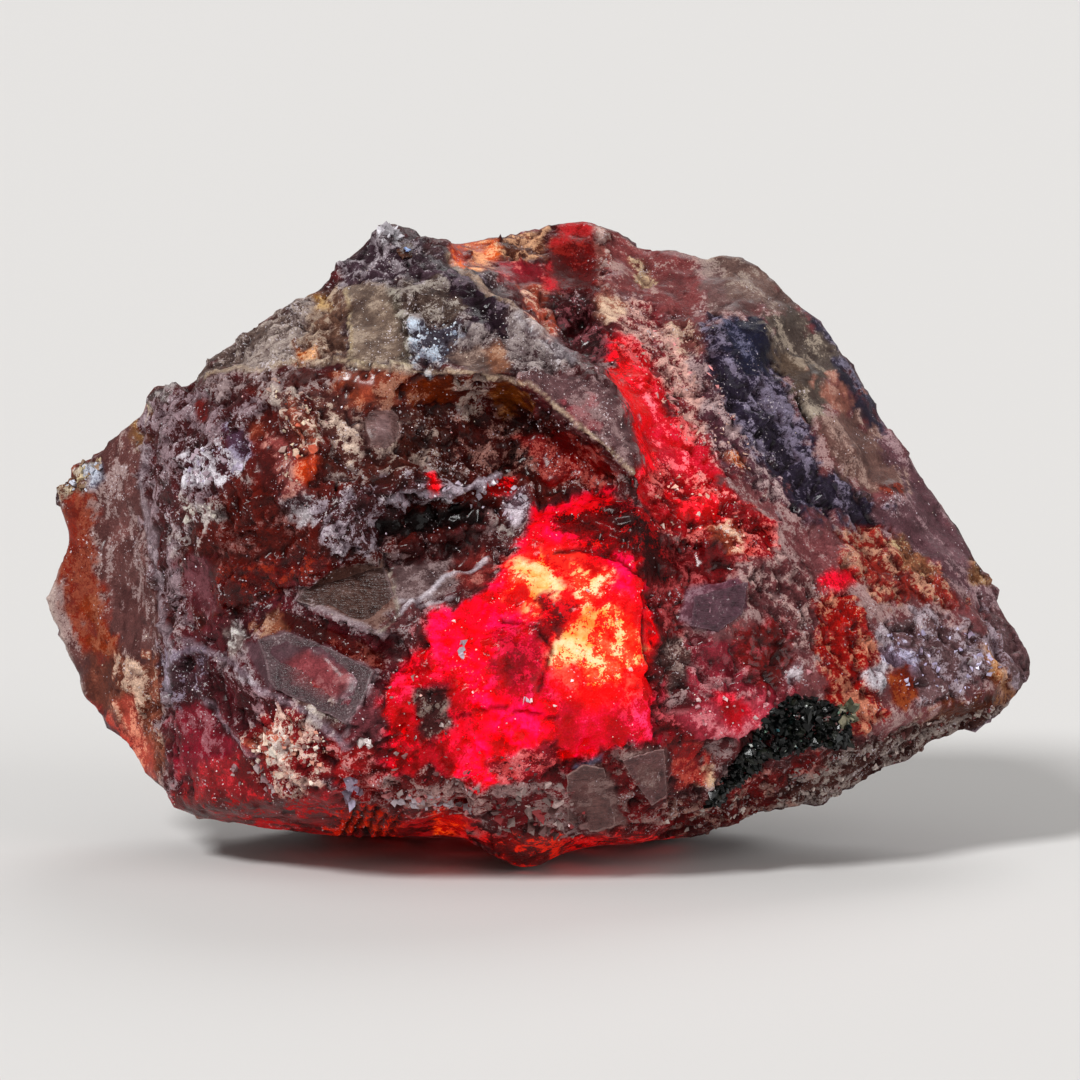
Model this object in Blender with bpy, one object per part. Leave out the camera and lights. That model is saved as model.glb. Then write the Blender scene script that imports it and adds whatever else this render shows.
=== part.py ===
"""A loose lump of ruby-red sphalerite, broken along its cleavage, resting on its underside.

Every corner of the lump is a point (across, down, depth) of one drawing of its front face.
Across and down are pixels of that drawing and depth is millimetres towards the viewer. A front
sheet and a back sheet of facets hang between the same outline, the closed shell is divided into
short edges and roughened where the stone is rough, and the ground plane trims it flat below.
"""

import math

import bmesh
import bpy
from mathutils import Vector, noise
from mathutils.geometry import delaunay_2d_cdt

MM = 0.001

# Driving dimensions, in millimetres and degrees
WIDTH_MM = 49.6
VIEW_ELEVATION_DEG = 7.0
VIEW_DISTANCE_MM = 400.0
CENTRE_RIGHT_MM = 0.22
CENTRE_SETBACK_MM = 0.51
CENTRE_HEIGHT_MM = 15.4

# The drawing's own measures, in pixels
OUTLINE_LEFT_PX = 47.0
OUTLINE_RIGHT_PX = 1039.0
DRAWING_CENTRE_PX = (544.0, 542.0)
MM_PER_PX = WIDTH_MM / (OUTLINE_RIGHT_PX - OUTLINE_LEFT_PX)

# Mesh fineness: the longest edge left on the front, on the back and in the druse
FRONT_EDGE_MM = 1.05
BACK_EDGE_MM = 1.5
DRUSE_EDGE_MM = 0.55
DIVISION_ROUNDS = 7
KEPT_FACES = 0.45

# The silhouette, clockwise from the spike at the upper left
OUTLINE = [
    (388, 226, 1.0), (412, 233, 0.5), (448, 237, -1.5), (500, 236, -3.5), (530, 229, -4.0),
    (560, 219, -4.0), (592, 217, -4.0), (612, 228, -4.0), (640, 247, -4.5), (682, 250, -4.5),
    (704, 258, -4.0), (722, 250, -4.0), (748, 256, -4.0), (775, 280, -3.5), (806, 308, -3.5),
    (836, 338, -3.5), (850, 362, -3.5), (880, 412, -3.5), (905, 446, -3.0), (945, 505, -3.0),
    (985, 568, -2.5), (1003, 605, -2.0), (1020, 638, -1.5), (1039, 660, -1.0), (1036, 680, -0.5),
    (1015, 705, 0.0), (985, 724, 0.5), (940, 742, 1.0), (900, 766, 1.5), (870, 784, 2.0),
    (810, 800, 3.0), (760, 815, 3.5), (715, 832, 4.0), (660, 842, 4.5), (600, 846, 5.0),
    (565, 857, 5.5), (540, 867, 6.5), (520, 869, 6.5), (503, 861, 6.3), (485, 850, 6.0),
    (455, 838, 5.5), (400, 837, 5.5), (330, 836, 5.0), (260, 829, 4.5), (200, 821, 4.0),
    (172, 810, 3.5), (163, 793, 2.0), (143, 775, 0.0), (133, 750, -1.0), (105, 733, -2.0),
    (85, 707, -2.5), (77, 675, -3.0), (62, 645, -3.0), (48, 600, -3.0), (50, 572, -3.0),
    (62, 540, -3.0), (62, 518, -3.0), (50, 500, -3.0), (58, 480, -3.0), (75, 462, -3.0),
    (98, 450, -2.5), (122, 427, -2.0), (140, 415, -1.5), (144, 392, -1.0), (160, 384, -0.5),
    (190, 380, 1.0), (212, 356, 1.5), (240, 334, 1.8), (270, 315, 2.0), (292, 303, 2.2),
    (308, 300, 2.4), (322, 284, 2.5), (332, 268, 2.0), (350, 257, 1.5), (363, 245, 1.3),
    (372, 233, 1.2),
]

# Ridges, ledges and valleys of the front, each a run of joined corners
FRONT_LINES = {
    "crest": [
        (205, 376, 4.0), (262, 366, 7.0), (320, 362, 9.0), (400, 370, 10.2), (460, 372, 10.6),
        (520, 376, 10.8), (548, 402, 11.0), (585, 432, 11.2), (632, 472, 11.4),
    ],
    "under_crest": [
        (318, 400, 9.8), (360, 404, 9.7), (400, 412, 9.2), (440, 408, 8.0), (480, 404, 7.4),
        (520, 420, 7.0), (560, 450, 7.4), (606, 484, 9.2),
    ],
    "crumbly_rib": [(278, 386, 9.8), (296, 416, 12.0), (308, 448, 12.7), (298, 486, 12.7)],
    "ledge_edge": [(372, 500, 12.3), (410, 492, 12.1), (446, 491, 11.5), (480, 484, 10.2)],
    "ledge_hollow": [(392, 521, 10.8), (430, 516, 9.2), (466, 508, 8.8), (492, 504, 9.0)],
    "shoulder_edge": [
        (432, 262, 4.2), (470, 280, 5.2), (508, 308, 6.4), (545, 338, 7.8), (566, 354, 8.6),
        (600, 371, 8.8), (622, 404, 9.6), (636, 444, 10.6),
    ],
    "shoulder_foot": [
        (446, 254, 1.2), (480, 270, 1.6), (518, 296, 2.0), (556, 330, 2.4), (580, 350, 3.2),
        (610, 364, 4.4), (638, 402, 5.8), (656, 452, 7.8), (662, 486, 9.0),
    ],
    "olive_facet_left": [(340, 284, 4.2), (345, 320, 6.4), (342, 350, 8.4)],
    "olive_facet_right": [(392, 284, 5.2), (412, 330, 8.0), (408, 362, 9.8)],
    "top_knob": [(372, 262, 3.2), (400, 262, 4.0)],
    "window_left": [(548, 238, -3.0), (546, 272, -1.2), (560, 296, 0.2)],
    "window_right": [
        (600, 232, -3.2), (602, 262, -1.6), (598, 300, 1.2), (614, 334, 2.8), (640, 372, 4.4),
        (664, 420, 5.8), (684, 470, 7.2),
    ],
    "left_ridge": [
        (166, 414, 2.6), (156, 470, 3.4), (160, 530, 4.2), (172, 590, 5.4), (182, 636, 6.4),
    ],
    "left_valley": [
        (150, 440, 0.4), (142, 500, 0.6), (148, 560, 1.0), (158, 620, 1.8), (158, 680, 2.0),
        (160, 740, 2.2),
    ],
    "lower_left_ridge": [
        (170, 652, 5.2), (176, 700, 6.0), (172, 746, 5.2), (170, 786, 4.4),
    ],
    "wing_rib": [
        (112, 486, -1.2), (104, 540, -1.4), (112, 610, -1.0), (122, 668, -0.2), (136, 722, 0.0),
    ],
    "wing_channel": [(80, 516, -2.4), (72, 570, -2.6), (84, 620, -2.4), (104, 672, -1.8)],
    "bulge_edge": [
        (214, 606, 8.6), (258, 596, 11.0), (318, 574, 12.2), (370, 556, 12.4), (420, 542, 11.8),
        (468, 526, 10.6), (508, 512, 9.8),
    ],
    "bulge_foot": [
        (216, 622, 8.2), (262, 612, 10.0), (330, 586, 10.9), (394, 566, 11.0), (442, 556, 10.5),
        (490, 544, 10.2),
    ],
    "upper_plate_edge": [
        (292, 608, 12.0), (332, 618, 13.2), (374, 636, 13.8), (404, 616, 13.6), (444, 600, 13.0),
        (486, 574, 11.8),
    ],
    "crevice": [(300, 622, 11.2), (338, 640, 11.6), (380, 664, 12.2)],
    "lower_plate_top": [(262, 642, 11.6), (322, 650, 12.9), (370, 680, 14.0)],
    "lower_plate_foot": [
        (206, 664, 7.8), (246, 686, 10.4), (296, 716, 13.0), (328, 734, 14.0), (350, 716, 14.3),
    ],
    "glow_top": [(528, 520, 10.2), (566, 500, 10.2), (604, 498, 10.4), (640, 506, 10.8)],
    "glow_right": [(638, 556, 12.2), (648, 610, 12.9), (652, 670, 13.2), (650, 732, 13.3)],
    "glow_right_foot": [
        (656, 552, 10.6), (666, 610, 11.0), (670, 672, 11.6), (668, 742, 12.2),
    ],
    "bottom_edge": [
        (196, 800, 6.2), (262, 804, 8.8), (340, 808, 10.4), (410, 806, 11.2), (466, 808, 11.0),
        (520, 822, 10.4), (562, 826, 9.8), (612, 834, 8.8), (664, 822, 8.8), (712, 798, 9.2),
        (752, 770, 9.2), (804, 754, 8.6), (852, 742, 7.8), (894, 724, 6.4), (940, 710, 4.8),
        (984, 700, 3.2),
    ],
    "fan_plate": [(562, 800, 11.6), (582, 768, 12.9), (604, 776, 12.8), (628, 808, 10.6)],
    "small_plate": [(616, 758, 13.2), (662, 748, 12.8), (660, 796, 11.0)],
    "mauve_facet": [(700, 600, 10.6), (744, 582, 9.6), (760, 616, 9.4), (716, 634, 11.0)],
    "pink_plate": [(670, 700, 12.2), (718, 688, 11.6), (768, 692, 10.8), (738, 734, 11.4)],
    "dark_band_top": [(716, 330, 1.6), (760, 326, 0.4)],
    "right_rib": [(830, 384, -0.8), (846, 430, 0.2), (850, 476, 1.2), (900, 500, 0.0)],
    "right_shelf": [(852, 548, 4.0), (900, 562, 2.4), (950, 580, 0.6)],
}

# Single corners of the front
FRONT_POINTS = [
    (390, 240, 2.4), (300, 330, 5.2), (250, 346, 4.2), (450, 320, 7.4), (500, 346, 8.6),
    (480, 246, -2.4), (514, 264, -0.6), (576, 270, -2.2), (578, 322, 0.6), (640, 290, -1.4),
    (690, 296, -1.2), (740, 284, -2.2), (796, 340, -1.6), (676, 360, 2.8), (720, 400, 3.8),
    (770, 400, 2.2), (720, 456, 6.4), (780, 470, 4.4), (800, 524, 5.2), (740, 520, 8.0),
    (700, 530, 9.2), (690, 562, 9.2), (790, 580, 7.8), (870, 600, 5.2), (940, 640, 3.2),
    (990, 640, 1.4), (1012, 672, 1.2), (880, 660, 6.2), (830, 640, 7.8), (830, 700, 8.8),
    (780, 650, 9.4), (700, 660, 11.4), (784, 722, 10.4), (900, 744, 3.8), (850, 768, 4.8),
    (780, 788, 6.0), (200, 430, 7.4), (240, 420, 9.4), (262, 440, 10.4), (346, 440, 10.6),
    (400, 450, 10.4), (440, 456, 9.0), (500, 466, 7.8), (550, 480, 8.0), (200, 500, 8.6),
    (256, 500, 11.2), (330, 512, 12.8), (200, 560, 8.2),
    (230, 720, 8.4), (250, 760, 9.4), (296, 752, 12.4), (310, 790, 11.6),
    (204, 762, 7.0), (380, 730, 14.3), (376, 780, 13.2), (440, 780, 13.2), (420, 690, 14.4),
    (430, 640, 14.0), (480, 640, 13.6), (540, 560, 11.8), (590, 560, 12.0), (560, 620, 13.4),
    (610, 640, 13.6), (520, 700, 14.4), (590, 710, 14.2), (500, 760, 14.2), (550, 752, 13.8),
    (522, 846, 8.6), (300, 824, 7.4), (420, 824, 8.2), (80, 488, -2.0), (120, 450, -1.2),
]

# Facets of the back, with the base that the lump rests on last
BACK_LINES = {
    "back_crest": [
        (330, 430, -9.0), (450, 396, -12.6), (600, 420, -13.8), (740, 500, -12.0),
        (860, 610, -8.0),
    ],
    "back_hollow": [(390, 520, -9.8), (520, 510, -11.6), (640, 540, -11.4), (740, 610, -9.6)],
    "back_lower_ridge": [
        (250, 640, -8.4), (390, 650, -12.4), (540, 660, -13.8), (680, 690, -12.4),
        (800, 716, -8.0),
    ],
    "back_shoulder": [(400, 300, -4.6), (540, 290, -9.6), (670, 310, -9.8), (790, 390, -7.6)],
    "base_front": [(322, 833, -7.0), (420, 835, -6.4), (560, 838, -6.2), (680, 836, -6.6)],
    "base_back": [(340, 826, -11.0), (450, 823, -13.0), (580, 823, -13.0), (670, 826, -11.0)],
}
BACK_POINTS = [
    (84, 500, -6.6), (72, 590, -7.2), (96, 680, -6.8), (128, 450, -6.0), (180, 408, -6.2),
    (240, 356, -4.4), (310, 320, -3.6), (380, 262, -3.0), (470, 258, -6.4), (570, 242, -8.4),
    (660, 270, -8.6), (740, 276, -8.0), (800, 326, -7.8), (850, 392, -7.6), (906, 476, -7.2),
    (950, 546, -7.0), (1000, 626, -5.6), (1016, 674, -4.4), (930, 724, -4.0), (780, 800, -2.6),
    (180, 796, -3.6), (150, 756, -4.6),
    (170, 500, -8.6), (140, 600, -8.4), (180, 700, -8.6), (240, 770, -6.4), (930, 640, -7.4),
    (860, 730, -6.0), (640, 600, -12.0), (300, 560, -9.4), (600, 750, -13.6), (420, 746, -13.2),
    (720, 770, -9.6),
]

# Where the stone is smooth cleavage: centre and radii in the drawing, and how much is kept rough
SMOOTH_PLATES = [
    ((366, 322), (34, 44)), ((346, 600), (54, 30)), ((450, 580), (48, 22)), ((318, 682), (62, 44)),
    ((572, 266), (28, 44)), ((584, 404), (50, 36)), ((594, 802), (36, 38)), ((640, 770), (28, 26)),
    ((724, 610), (40, 30)), ((716, 712), (56, 26)), ((212, 730), (38, 50)), ((420, 392), (90, 16)),
    ((720, 270), (60, 26)), ((84, 600), (22, 80)),
]
PLATE_ROUGHNESS = 0.12

# Relief of the rough stone, in millimetres
LUMP_SIZE_MM, LUMP_HEIGHT_MM = 3.2, 0.30
CHIP_SIZE_MM, CHIP_SLOPE = 3.0, 0.26
STEP_HEIGHT_MM, STEP_DEPTH_MM = 2.4, 0.3
CLEAVAGE_NORMALS = (Vector((0.62, 0.34, 0.71)), Vector((-0.55, 0.48, 0.68)))
RIM_SHARE = 0.3

# The dark druse at the lower right: a run of lumps standing proud of the stone
DRUSE_LINE = [(722, 790), (760, 752), (800, 728), (842, 716)]
DRUSE_RADII_PX = (12.0, 20.0, 34.0, 24.0)
DRUSE_GRAIN_MM, DRUSE_HEIGHT_MM = 1.1, 0.75


def clear_scene():
    """Removes whatever the opened scene holds."""
    for thing in list(bpy.data.objects):
        bpy.data.objects.remove(thing, do_unlink=True)


def place(corner):
    """The corner's place in metres: along the viewer's ray through it, at its depth."""
    across, down, depth = corner
    tilt = math.radians(VIEW_ELEVATION_DEG)
    nearness = 1.0 - depth / VIEW_DISTANCE_MM
    sideways = CENTRE_RIGHT_MM + (across - DRAWING_CENTRE_PX[0]) * MM_PER_PX * nearness
    upwards = (DRAWING_CENTRE_PX[1] - down) * MM_PER_PX * nearness
    return Vector((
        sideways,
        CENTRE_SETBACK_MM + upwards * math.sin(tilt) - depth * math.cos(tilt),
        CENTRE_HEIGHT_MM + upwards * math.cos(tilt) + depth * math.sin(tilt),
    )) * MM


def drawn_at(point):
    """The pixel of the drawing at which a point of the lump is seen, and its depth in millimetres."""
    tilt = math.radians(VIEW_ELEVATION_DEG)
    y = point.y / MM - CENTRE_SETBACK_MM
    z = point.z / MM - CENTRE_HEIGHT_MM
    depth = z * math.sin(tilt) - y * math.cos(tilt)
    upwards = z * math.cos(tilt) + y * math.sin(tilt)
    scale = MM_PER_PX * (1.0 - depth / VIEW_DISTANCE_MM)
    across = DRAWING_CENTRE_PX[0] + (point.x / MM - CENTRE_RIGHT_MM) / scale
    down = DRAWING_CENTRE_PX[1] - upwards / scale
    return across, down, depth


def facet_sheet(lines, points):
    """The corners of one sheet and its triangles: the outline, filled so that every line is an edge."""
    corners = list(OUTLINE)
    edges = []
    for line in lines.values():
        first = len(corners)
        corners.extend(line)
        edges.extend((first + i, first + i + 1) for i in range(len(line) - 1))
    corners.extend(points)
    flat = [Vector((across, -down)) for across, down, depth in corners]
    rim = [list(reversed(range(len(OUTLINE))))]
    result = delaunay_2d_cdt(flat, edges, rim, 1, 1e-4)
    triangles = result[2]
    sources = [found[0] for found in result[3]]
    return corners, [[sources[i] for i in triangle] for triangle in triangles]


def closed_shell():
    """A closed mesh of the bare facets: both sheets, joined along the outline that they share."""
    shell = bmesh.new()
    rim = [shell.verts.new(place(corner)) for corner in OUTLINE]
    for lines, points, turned in ((FRONT_LINES, FRONT_POINTS, False), (BACK_LINES, BACK_POINTS, True)):
        corners, triangles = facet_sheet(lines, points)
        verts = rim + [shell.verts.new(place(corner)) for corner in corners[len(OUTLINE):]]
        for triangle in triangles:
            order = reversed(triangle) if turned else triangle
            shell.faces.new([verts[i] for i in order])
    bmesh.ops.recalc_face_normals(shell, faces=shell.faces)
    return shell


def edge_limit(edge):
    """The longest that an edge may stay, by where its middle is."""
    across, down, depth = drawn_at((edge.verts[0].co + edge.verts[1].co) / 2.0)
    if druse_share(across, down, depth) > 0.0:
        return DRUSE_EDGE_MM * MM
    return (BACK_EDGE_MM if depth < -4.0 else FRONT_EDGE_MM) * MM


def divide(shell):
    """Cuts every long edge in half, round after round, until none is over its limit."""
    for _ in range(DIVISION_ROUNDS):
        long_edges = [edge for edge in shell.edges if edge.calc_length() > edge_limit(edge)]
        if not long_edges:
            break
        bmesh.ops.subdivide_edges(shell, edges=long_edges, cuts=1)
        bmesh.ops.triangulate(shell, faces=shell.faces)


def smooth_step(value):
    """0 below 0, 1 above 1 and a soft rise between."""
    clamped = min(max(value, 0.0), 1.0)
    return clamped * clamped * (3.0 - 2.0 * clamped)


def roughness_at(across, down, depth):
    """How rough the stone is there: 1 on crust and broken stone, near 0 on a cleavage plate."""
    if depth < 0.0 and down > 800:
        return PLATE_ROUGHNESS
    kept = 1.0
    for (centre_x, centre_y), (radius_x, radius_y) in SMOOTH_PLATES:
        distance = math.hypot((across - centre_x) / radius_x, (down - centre_y) / radius_y)
        kept = min(kept, smooth_step((distance - 0.8) / 0.4))
    return PLATE_ROUGHNESS + (1.0 - PLATE_ROUGHNESS) * (kept if depth > -3.0 else 1.0)


def druse_share(across, down, depth):
    """1 inside the dark druse and 0 outside: the distance to its line of lumps."""
    if depth < 0.0:
        return 0.0
    share = 0.0
    for (centre_x, centre_y), radius in zip(DRUSE_LINE, DRUSE_RADII_PX):
        distance = math.hypot(across - centre_x, down - centre_y) / radius
        share = max(share, 1.0 - smooth_step((distance - 0.6) / 0.6))
    return share


def terraced(point_mm, normal):
    """A cleavage staircase: how far the nearest tread lies behind the even slope, from 0 to 1."""
    wobble = 0.6 * noise.noise(point_mm / 6.0)
    level = point_mm.dot(normal) / STEP_HEIGHT_MM + wobble
    within = level - math.floor(level)
    return smooth_step((within - 0.55) / 0.45) - within


def chipped(point_mm):
    """Small broken faces: each cell of a random honeycomb is one plane with its own tilt."""
    centre = noise.voronoi(point_mm / CHIP_SIZE_MM)[1][0]
    tilt = noise.cell_vector(centre * 31.7) - Vector((0.5, 0.5, 0.5))
    return CHIP_SLOPE * tilt.dot(point_mm - centre * CHIP_SIZE_MM)


def relief_at(point):
    """How far the broken surface stands off the bare facet, in millimetres."""
    across, down, depth = drawn_at(point)
    point_mm = point / MM
    rough = roughness_at(across, down, depth)
    lumps = noise.fractal(point_mm / LUMP_SIZE_MM, 0.9, 2.0, 3)
    steps = sum(terraced(point_mm, normal) for normal in CLEAVAGE_NORMALS)
    height = LUMP_HEIGHT_MM * lumps + chipped(point_mm) + STEP_DEPTH_MM * steps
    grains = 1.0 - noise.voronoi(point_mm / DRUSE_GRAIN_MM)[0][0] * 1.4
    return rough * height + druse_share(across, down, depth) * DRUSE_HEIGHT_MM * grains


def roughen(shell):
    """Moves each corner along its normal by the relief there, less so at the drawn outline."""
    shell.normal_update()
    tilt = math.radians(VIEW_ELEVATION_DEG)
    viewer = Vector((0.0, -math.cos(tilt), math.sin(tilt)))
    moves = []
    for vert in shell.verts:
        share = RIM_SHARE + (1.0 - RIM_SHARE) * smooth_step(abs(vert.normal.dot(viewer)) / 0.4)
        moves.append((vert, vert.normal * share * relief_at(vert.co) * MM))
    for vert, move in moves:
        vert.co += move


def crystal_material():
    """Ruby-red sphalerite: dark, resinous, half gloss."""
    material = bpy.data.materials.new("ruby_sphalerite")
    material.use_nodes = True
    surface = material.node_tree.nodes["Principled BSDF"]
    surface.inputs["Base Color"].default_value = (0.17, 0.035, 0.04, 1.0)
    surface.inputs["Roughness"].default_value = 0.42
    surface.inputs["Metallic"].default_value = 0.0
    return material


def ground_cutter():
    """A slab below z = 0 that trims the underside to one flat face."""
    bpy.ops.mesh.primitive_cube_add(size=1.0, location=(0.0, 0.0, -0.005))
    cutter = bpy.context.object
    cutter.name = "ground_cutter"
    cutter.scale = (0.08, 0.08, 0.01)
    bpy.ops.object.transform_apply(location=False, rotation=False, scale=True)
    cutter.hide_render = True
    cutter.display_type = "WIRE"
    return cutter


def build_crystal():
    """The lump as one object, thinned where it is flat and trimmed by the ground."""
    shell = closed_shell()
    divide(shell)
    roughen(shell)
    mesh = bpy.data.meshes.new("sphalerite")
    shell.to_mesh(mesh)
    shell.free()
    mesh.materials.append(crystal_material())
    crystal = bpy.data.objects.new("sphalerite", mesh)
    bpy.context.scene.collection.objects.link(crystal)
    thin = crystal.modifiers.new("thin_flat_areas", "DECIMATE")
    thin.ratio = KEPT_FACES
    trim = crystal.modifiers.new("flat_base", "BOOLEAN")
    trim.operation = "DIFFERENCE"
    trim.solver = "EXACT"
    trim.object = ground_cutter()
    return crystal


def main():
    clear_scene()
    build_crystal()


main()
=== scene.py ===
"""The looks of a loose lump of ruby-red sphalerite.

The stone's colours and forms are named places of one drawing of its front face. Across and
down are pixels of that drawing, and depth is millimetres towards the viewer.
"""

import logging
import math
from dataclasses import dataclass, field
from enum import Enum

import bmesh
import bpy
import numpy as np
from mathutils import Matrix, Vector


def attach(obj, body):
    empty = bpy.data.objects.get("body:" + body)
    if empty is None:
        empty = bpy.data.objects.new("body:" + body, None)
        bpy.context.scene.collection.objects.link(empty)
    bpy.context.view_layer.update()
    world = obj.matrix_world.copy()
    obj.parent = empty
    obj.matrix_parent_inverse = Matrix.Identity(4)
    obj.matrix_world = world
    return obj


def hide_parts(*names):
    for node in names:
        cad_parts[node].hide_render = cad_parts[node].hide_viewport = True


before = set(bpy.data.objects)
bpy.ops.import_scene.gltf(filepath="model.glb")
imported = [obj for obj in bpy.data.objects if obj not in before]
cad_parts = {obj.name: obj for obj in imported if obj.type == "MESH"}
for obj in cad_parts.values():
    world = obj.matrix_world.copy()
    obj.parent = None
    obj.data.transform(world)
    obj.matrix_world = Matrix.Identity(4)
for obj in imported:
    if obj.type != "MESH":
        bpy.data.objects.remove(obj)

logging.basicConfig(level=logging.INFO, format="%(message)s")
LOG = logging.getLogger("sphalerite")

MM = 0.001
BODY = "root"
NODE = "sphalerite"

# How high the loose forms and plates are held over the ground, and how low the floor lies
GROUND_GAP_M = 0.00002

Colour = tuple[float, float, float]
Corner = tuple[float, float]
Corners = list[Corner]


def linear(colour: Colour) -> np.ndarray:
    """Turns a screen colour of 0 to 255 into linear light of 0 to 1.

    Args:
        colour: red, green and blue as they look on a screen.

    Returns:
        The three linear values.
    """
    share = np.asarray(colour, dtype=float) / 255.0
    return np.where(share <= 0.04045, share / 12.92, ((share + 0.055) / 1.055) ** 2.4)


def soft_step(values: np.ndarray, low: float = 0.0, high: float = 1.0) -> np.ndarray:
    """0 below low, 1 above high, and the cubic 3t^2 - 2t^3 between.

    Args:
        values: any array.
        low: where the rise starts.
        high: where it ends.

    Returns:
        An array of the same shape, from 0 to 1.
    """
    share = np.clip((values - low) / (high - low), 0.0, 1.0)
    return share * share * (3.0 - 2.0 * share)


def vivid(colour: np.ndarray, amount: float) -> np.ndarray:
    """Moves a linear colour away from its own grey by an amount, 1 leaving it as it is."""
    grey = colour.mean()
    return np.clip(grey + (colour - grey) * amount, 0.0, 1.0)


def shaded(colour: np.ndarray, shade: np.ndarray, lit: np.ndarray | float) -> np.ndarray:
    """Darkens a linear colour: what is unlit is multiplied, a little more in green and blue, and
    what is lit is raised to a power over 1, so that it turns deeper and never grey.

    Args:
        colour: one linear colour, or one for each row of shade.
        shade: 1 to leave it, lower to darken it.
        lit: how lit it is, from 0 to 1.

    Returns:
        One colour for each row of shade.
    """
    warm = np.stack([shade, 1.10 * shade - 0.10, 1.07 * shade - 0.07], axis=1)
    plain = colour * np.maximum(warm, 0.0)
    deeper = colour ** (1.0 + 1.3 * np.maximum(1.0 - shade, 0.0))[:, None]
    share = np.broadcast_to(lit, shade.shape)[:, None]
    return plain + (deeper - plain) * share


def blended(under: np.ndarray, over: np.ndarray, share: np.ndarray) -> np.ndarray:
    """Lays one array of values or colours over another by a share from 0 to 1."""
    weight = share[:, None] if under.ndim == 2 else share
    return under + (over - under) * weight


@dataclass(frozen=True)
class Drawing:
    """The stone's front as it is drawn: one ray of sight for each of its pixels.

    Attributes:
        mm_per_px: how wide a pixel is at the drawing's centre.
        elevation_deg: how far the viewer looks down.
        distance_mm: how far away the viewer is.
        centre_px: the drawing's centre, across and down.
        centre_mm: where that centre is in the frame.
        size_px: how wide and high the drawing is.
    """

    mm_per_px: float = 0.05
    elevation_deg: float = 7.0
    distance_mm: float = 400.0
    centre_px: tuple[float, float] = (544.0, 542.0)
    centre_mm: tuple[float, float, float] = (0.22, 0.51, 15.4)
    size_px: float = 1080.0

    @property
    def toward_viewer(self) -> np.ndarray:
        """The unit vector from the stone to the viewer."""
        tilt = math.radians(self.elevation_deg)
        return np.array([0.0, -math.cos(tilt), math.sin(tilt)])

    @property
    def upward(self) -> np.ndarray:
        """The unit vector that points up the drawing."""
        tilt = math.radians(self.elevation_deg)
        return np.array([0.0, math.sin(tilt), math.cos(tilt)])

    def seen(self, points: np.ndarray) -> np.ndarray:
        """Finds where points are seen.

        Args:
            points: places in metres, one row each.

        Returns:
            Rows of across, down and depth.
        """
        offset = points / MM - np.asarray(self.centre_mm)
        depth = offset @ self.toward_viewer
        scale = self.mm_per_px * (1.0 - depth / self.distance_mm)
        across = self.centre_px[0] + offset[:, 0] / scale
        down = self.centre_px[1] - (offset @ self.upward) / scale
        return np.stack([across, down, depth], axis=1)

    def placed(self, corners: np.ndarray) -> np.ndarray:
        """Turns rows of across, down and depth back into places in metres."""
        corners = np.asarray(corners, dtype=float)
        scale = self.mm_per_px * (1.0 - corners[:, 2] / self.distance_mm)
        sideways = (corners[:, 0] - self.centre_px[0]) * scale
        upwards = (self.centre_px[1] - corners[:, 1]) * scale
        offset = np.outer(sideways, [1.0, 0.0, 0.0]) + np.outer(upwards, self.upward)
        offset += np.outer(corners[:, 2], self.toward_viewer)
        return (offset + np.asarray(self.centre_mm)) * MM


def hashed(cells: np.ndarray, seed: int) -> np.ndarray:
    """One random number from 0 to 1 for each cell: its whole coordinates, multiplied and mixed."""
    turned = cells.astype(np.int64) * np.array([374761393, 668265263, 1274126177], dtype=np.int64)
    mixed = (turned.sum(axis=-1) + seed * 1442695041) & 0xFFFFFFFF
    mixed = ((mixed ^ (mixed >> 13)) * 1103515245) & 0xFFFFFFFF
    mixed = ((mixed ^ (mixed >> 16)) * 69069) & 0xFFFFFFFF
    return (mixed ^ (mixed >> 15)) / 4294967295.0


def soft_noise(points_mm: np.ndarray, size_mm: float, seed: int) -> np.ndarray:
    """Smooth noise: random values on a lattice of the given size, blended in between.

    Args:
        points_mm: places in millimetres.
        size_mm: the lattice's pitch.
        seed: which noise.

    Returns:
        Values from 0 to 1, about 0.5 on average.
    """
    scaled = points_mm / size_mm + 57.3 * seed
    base = np.floor(scaled)
    part = scaled - base
    part = part * part * (3.0 - 2.0 * part)
    total = np.zeros(len(points_mm))
    for corner in np.ndindex(2, 2, 2):
        step = np.array(corner)
        weight = np.prod(np.where(step, part, 1.0 - part), axis=1)
        total += weight * hashed(base + step, seed)
    return total


def rough_noise(points_mm: np.ndarray, size_mm: float, seed: int, octaves: int = 4) -> np.ndarray:
    """Sums noises of halved size and height, and gives the result as 0 to 1 about 0.5."""
    total = np.zeros(len(points_mm))
    height, reach = 1.0, 0.0
    for octave in range(octaves):
        total += height * soft_noise(points_mm, size_mm / 2.0**octave, seed + octave)
        reach += height
        height *= 0.55
    return total / reach


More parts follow.
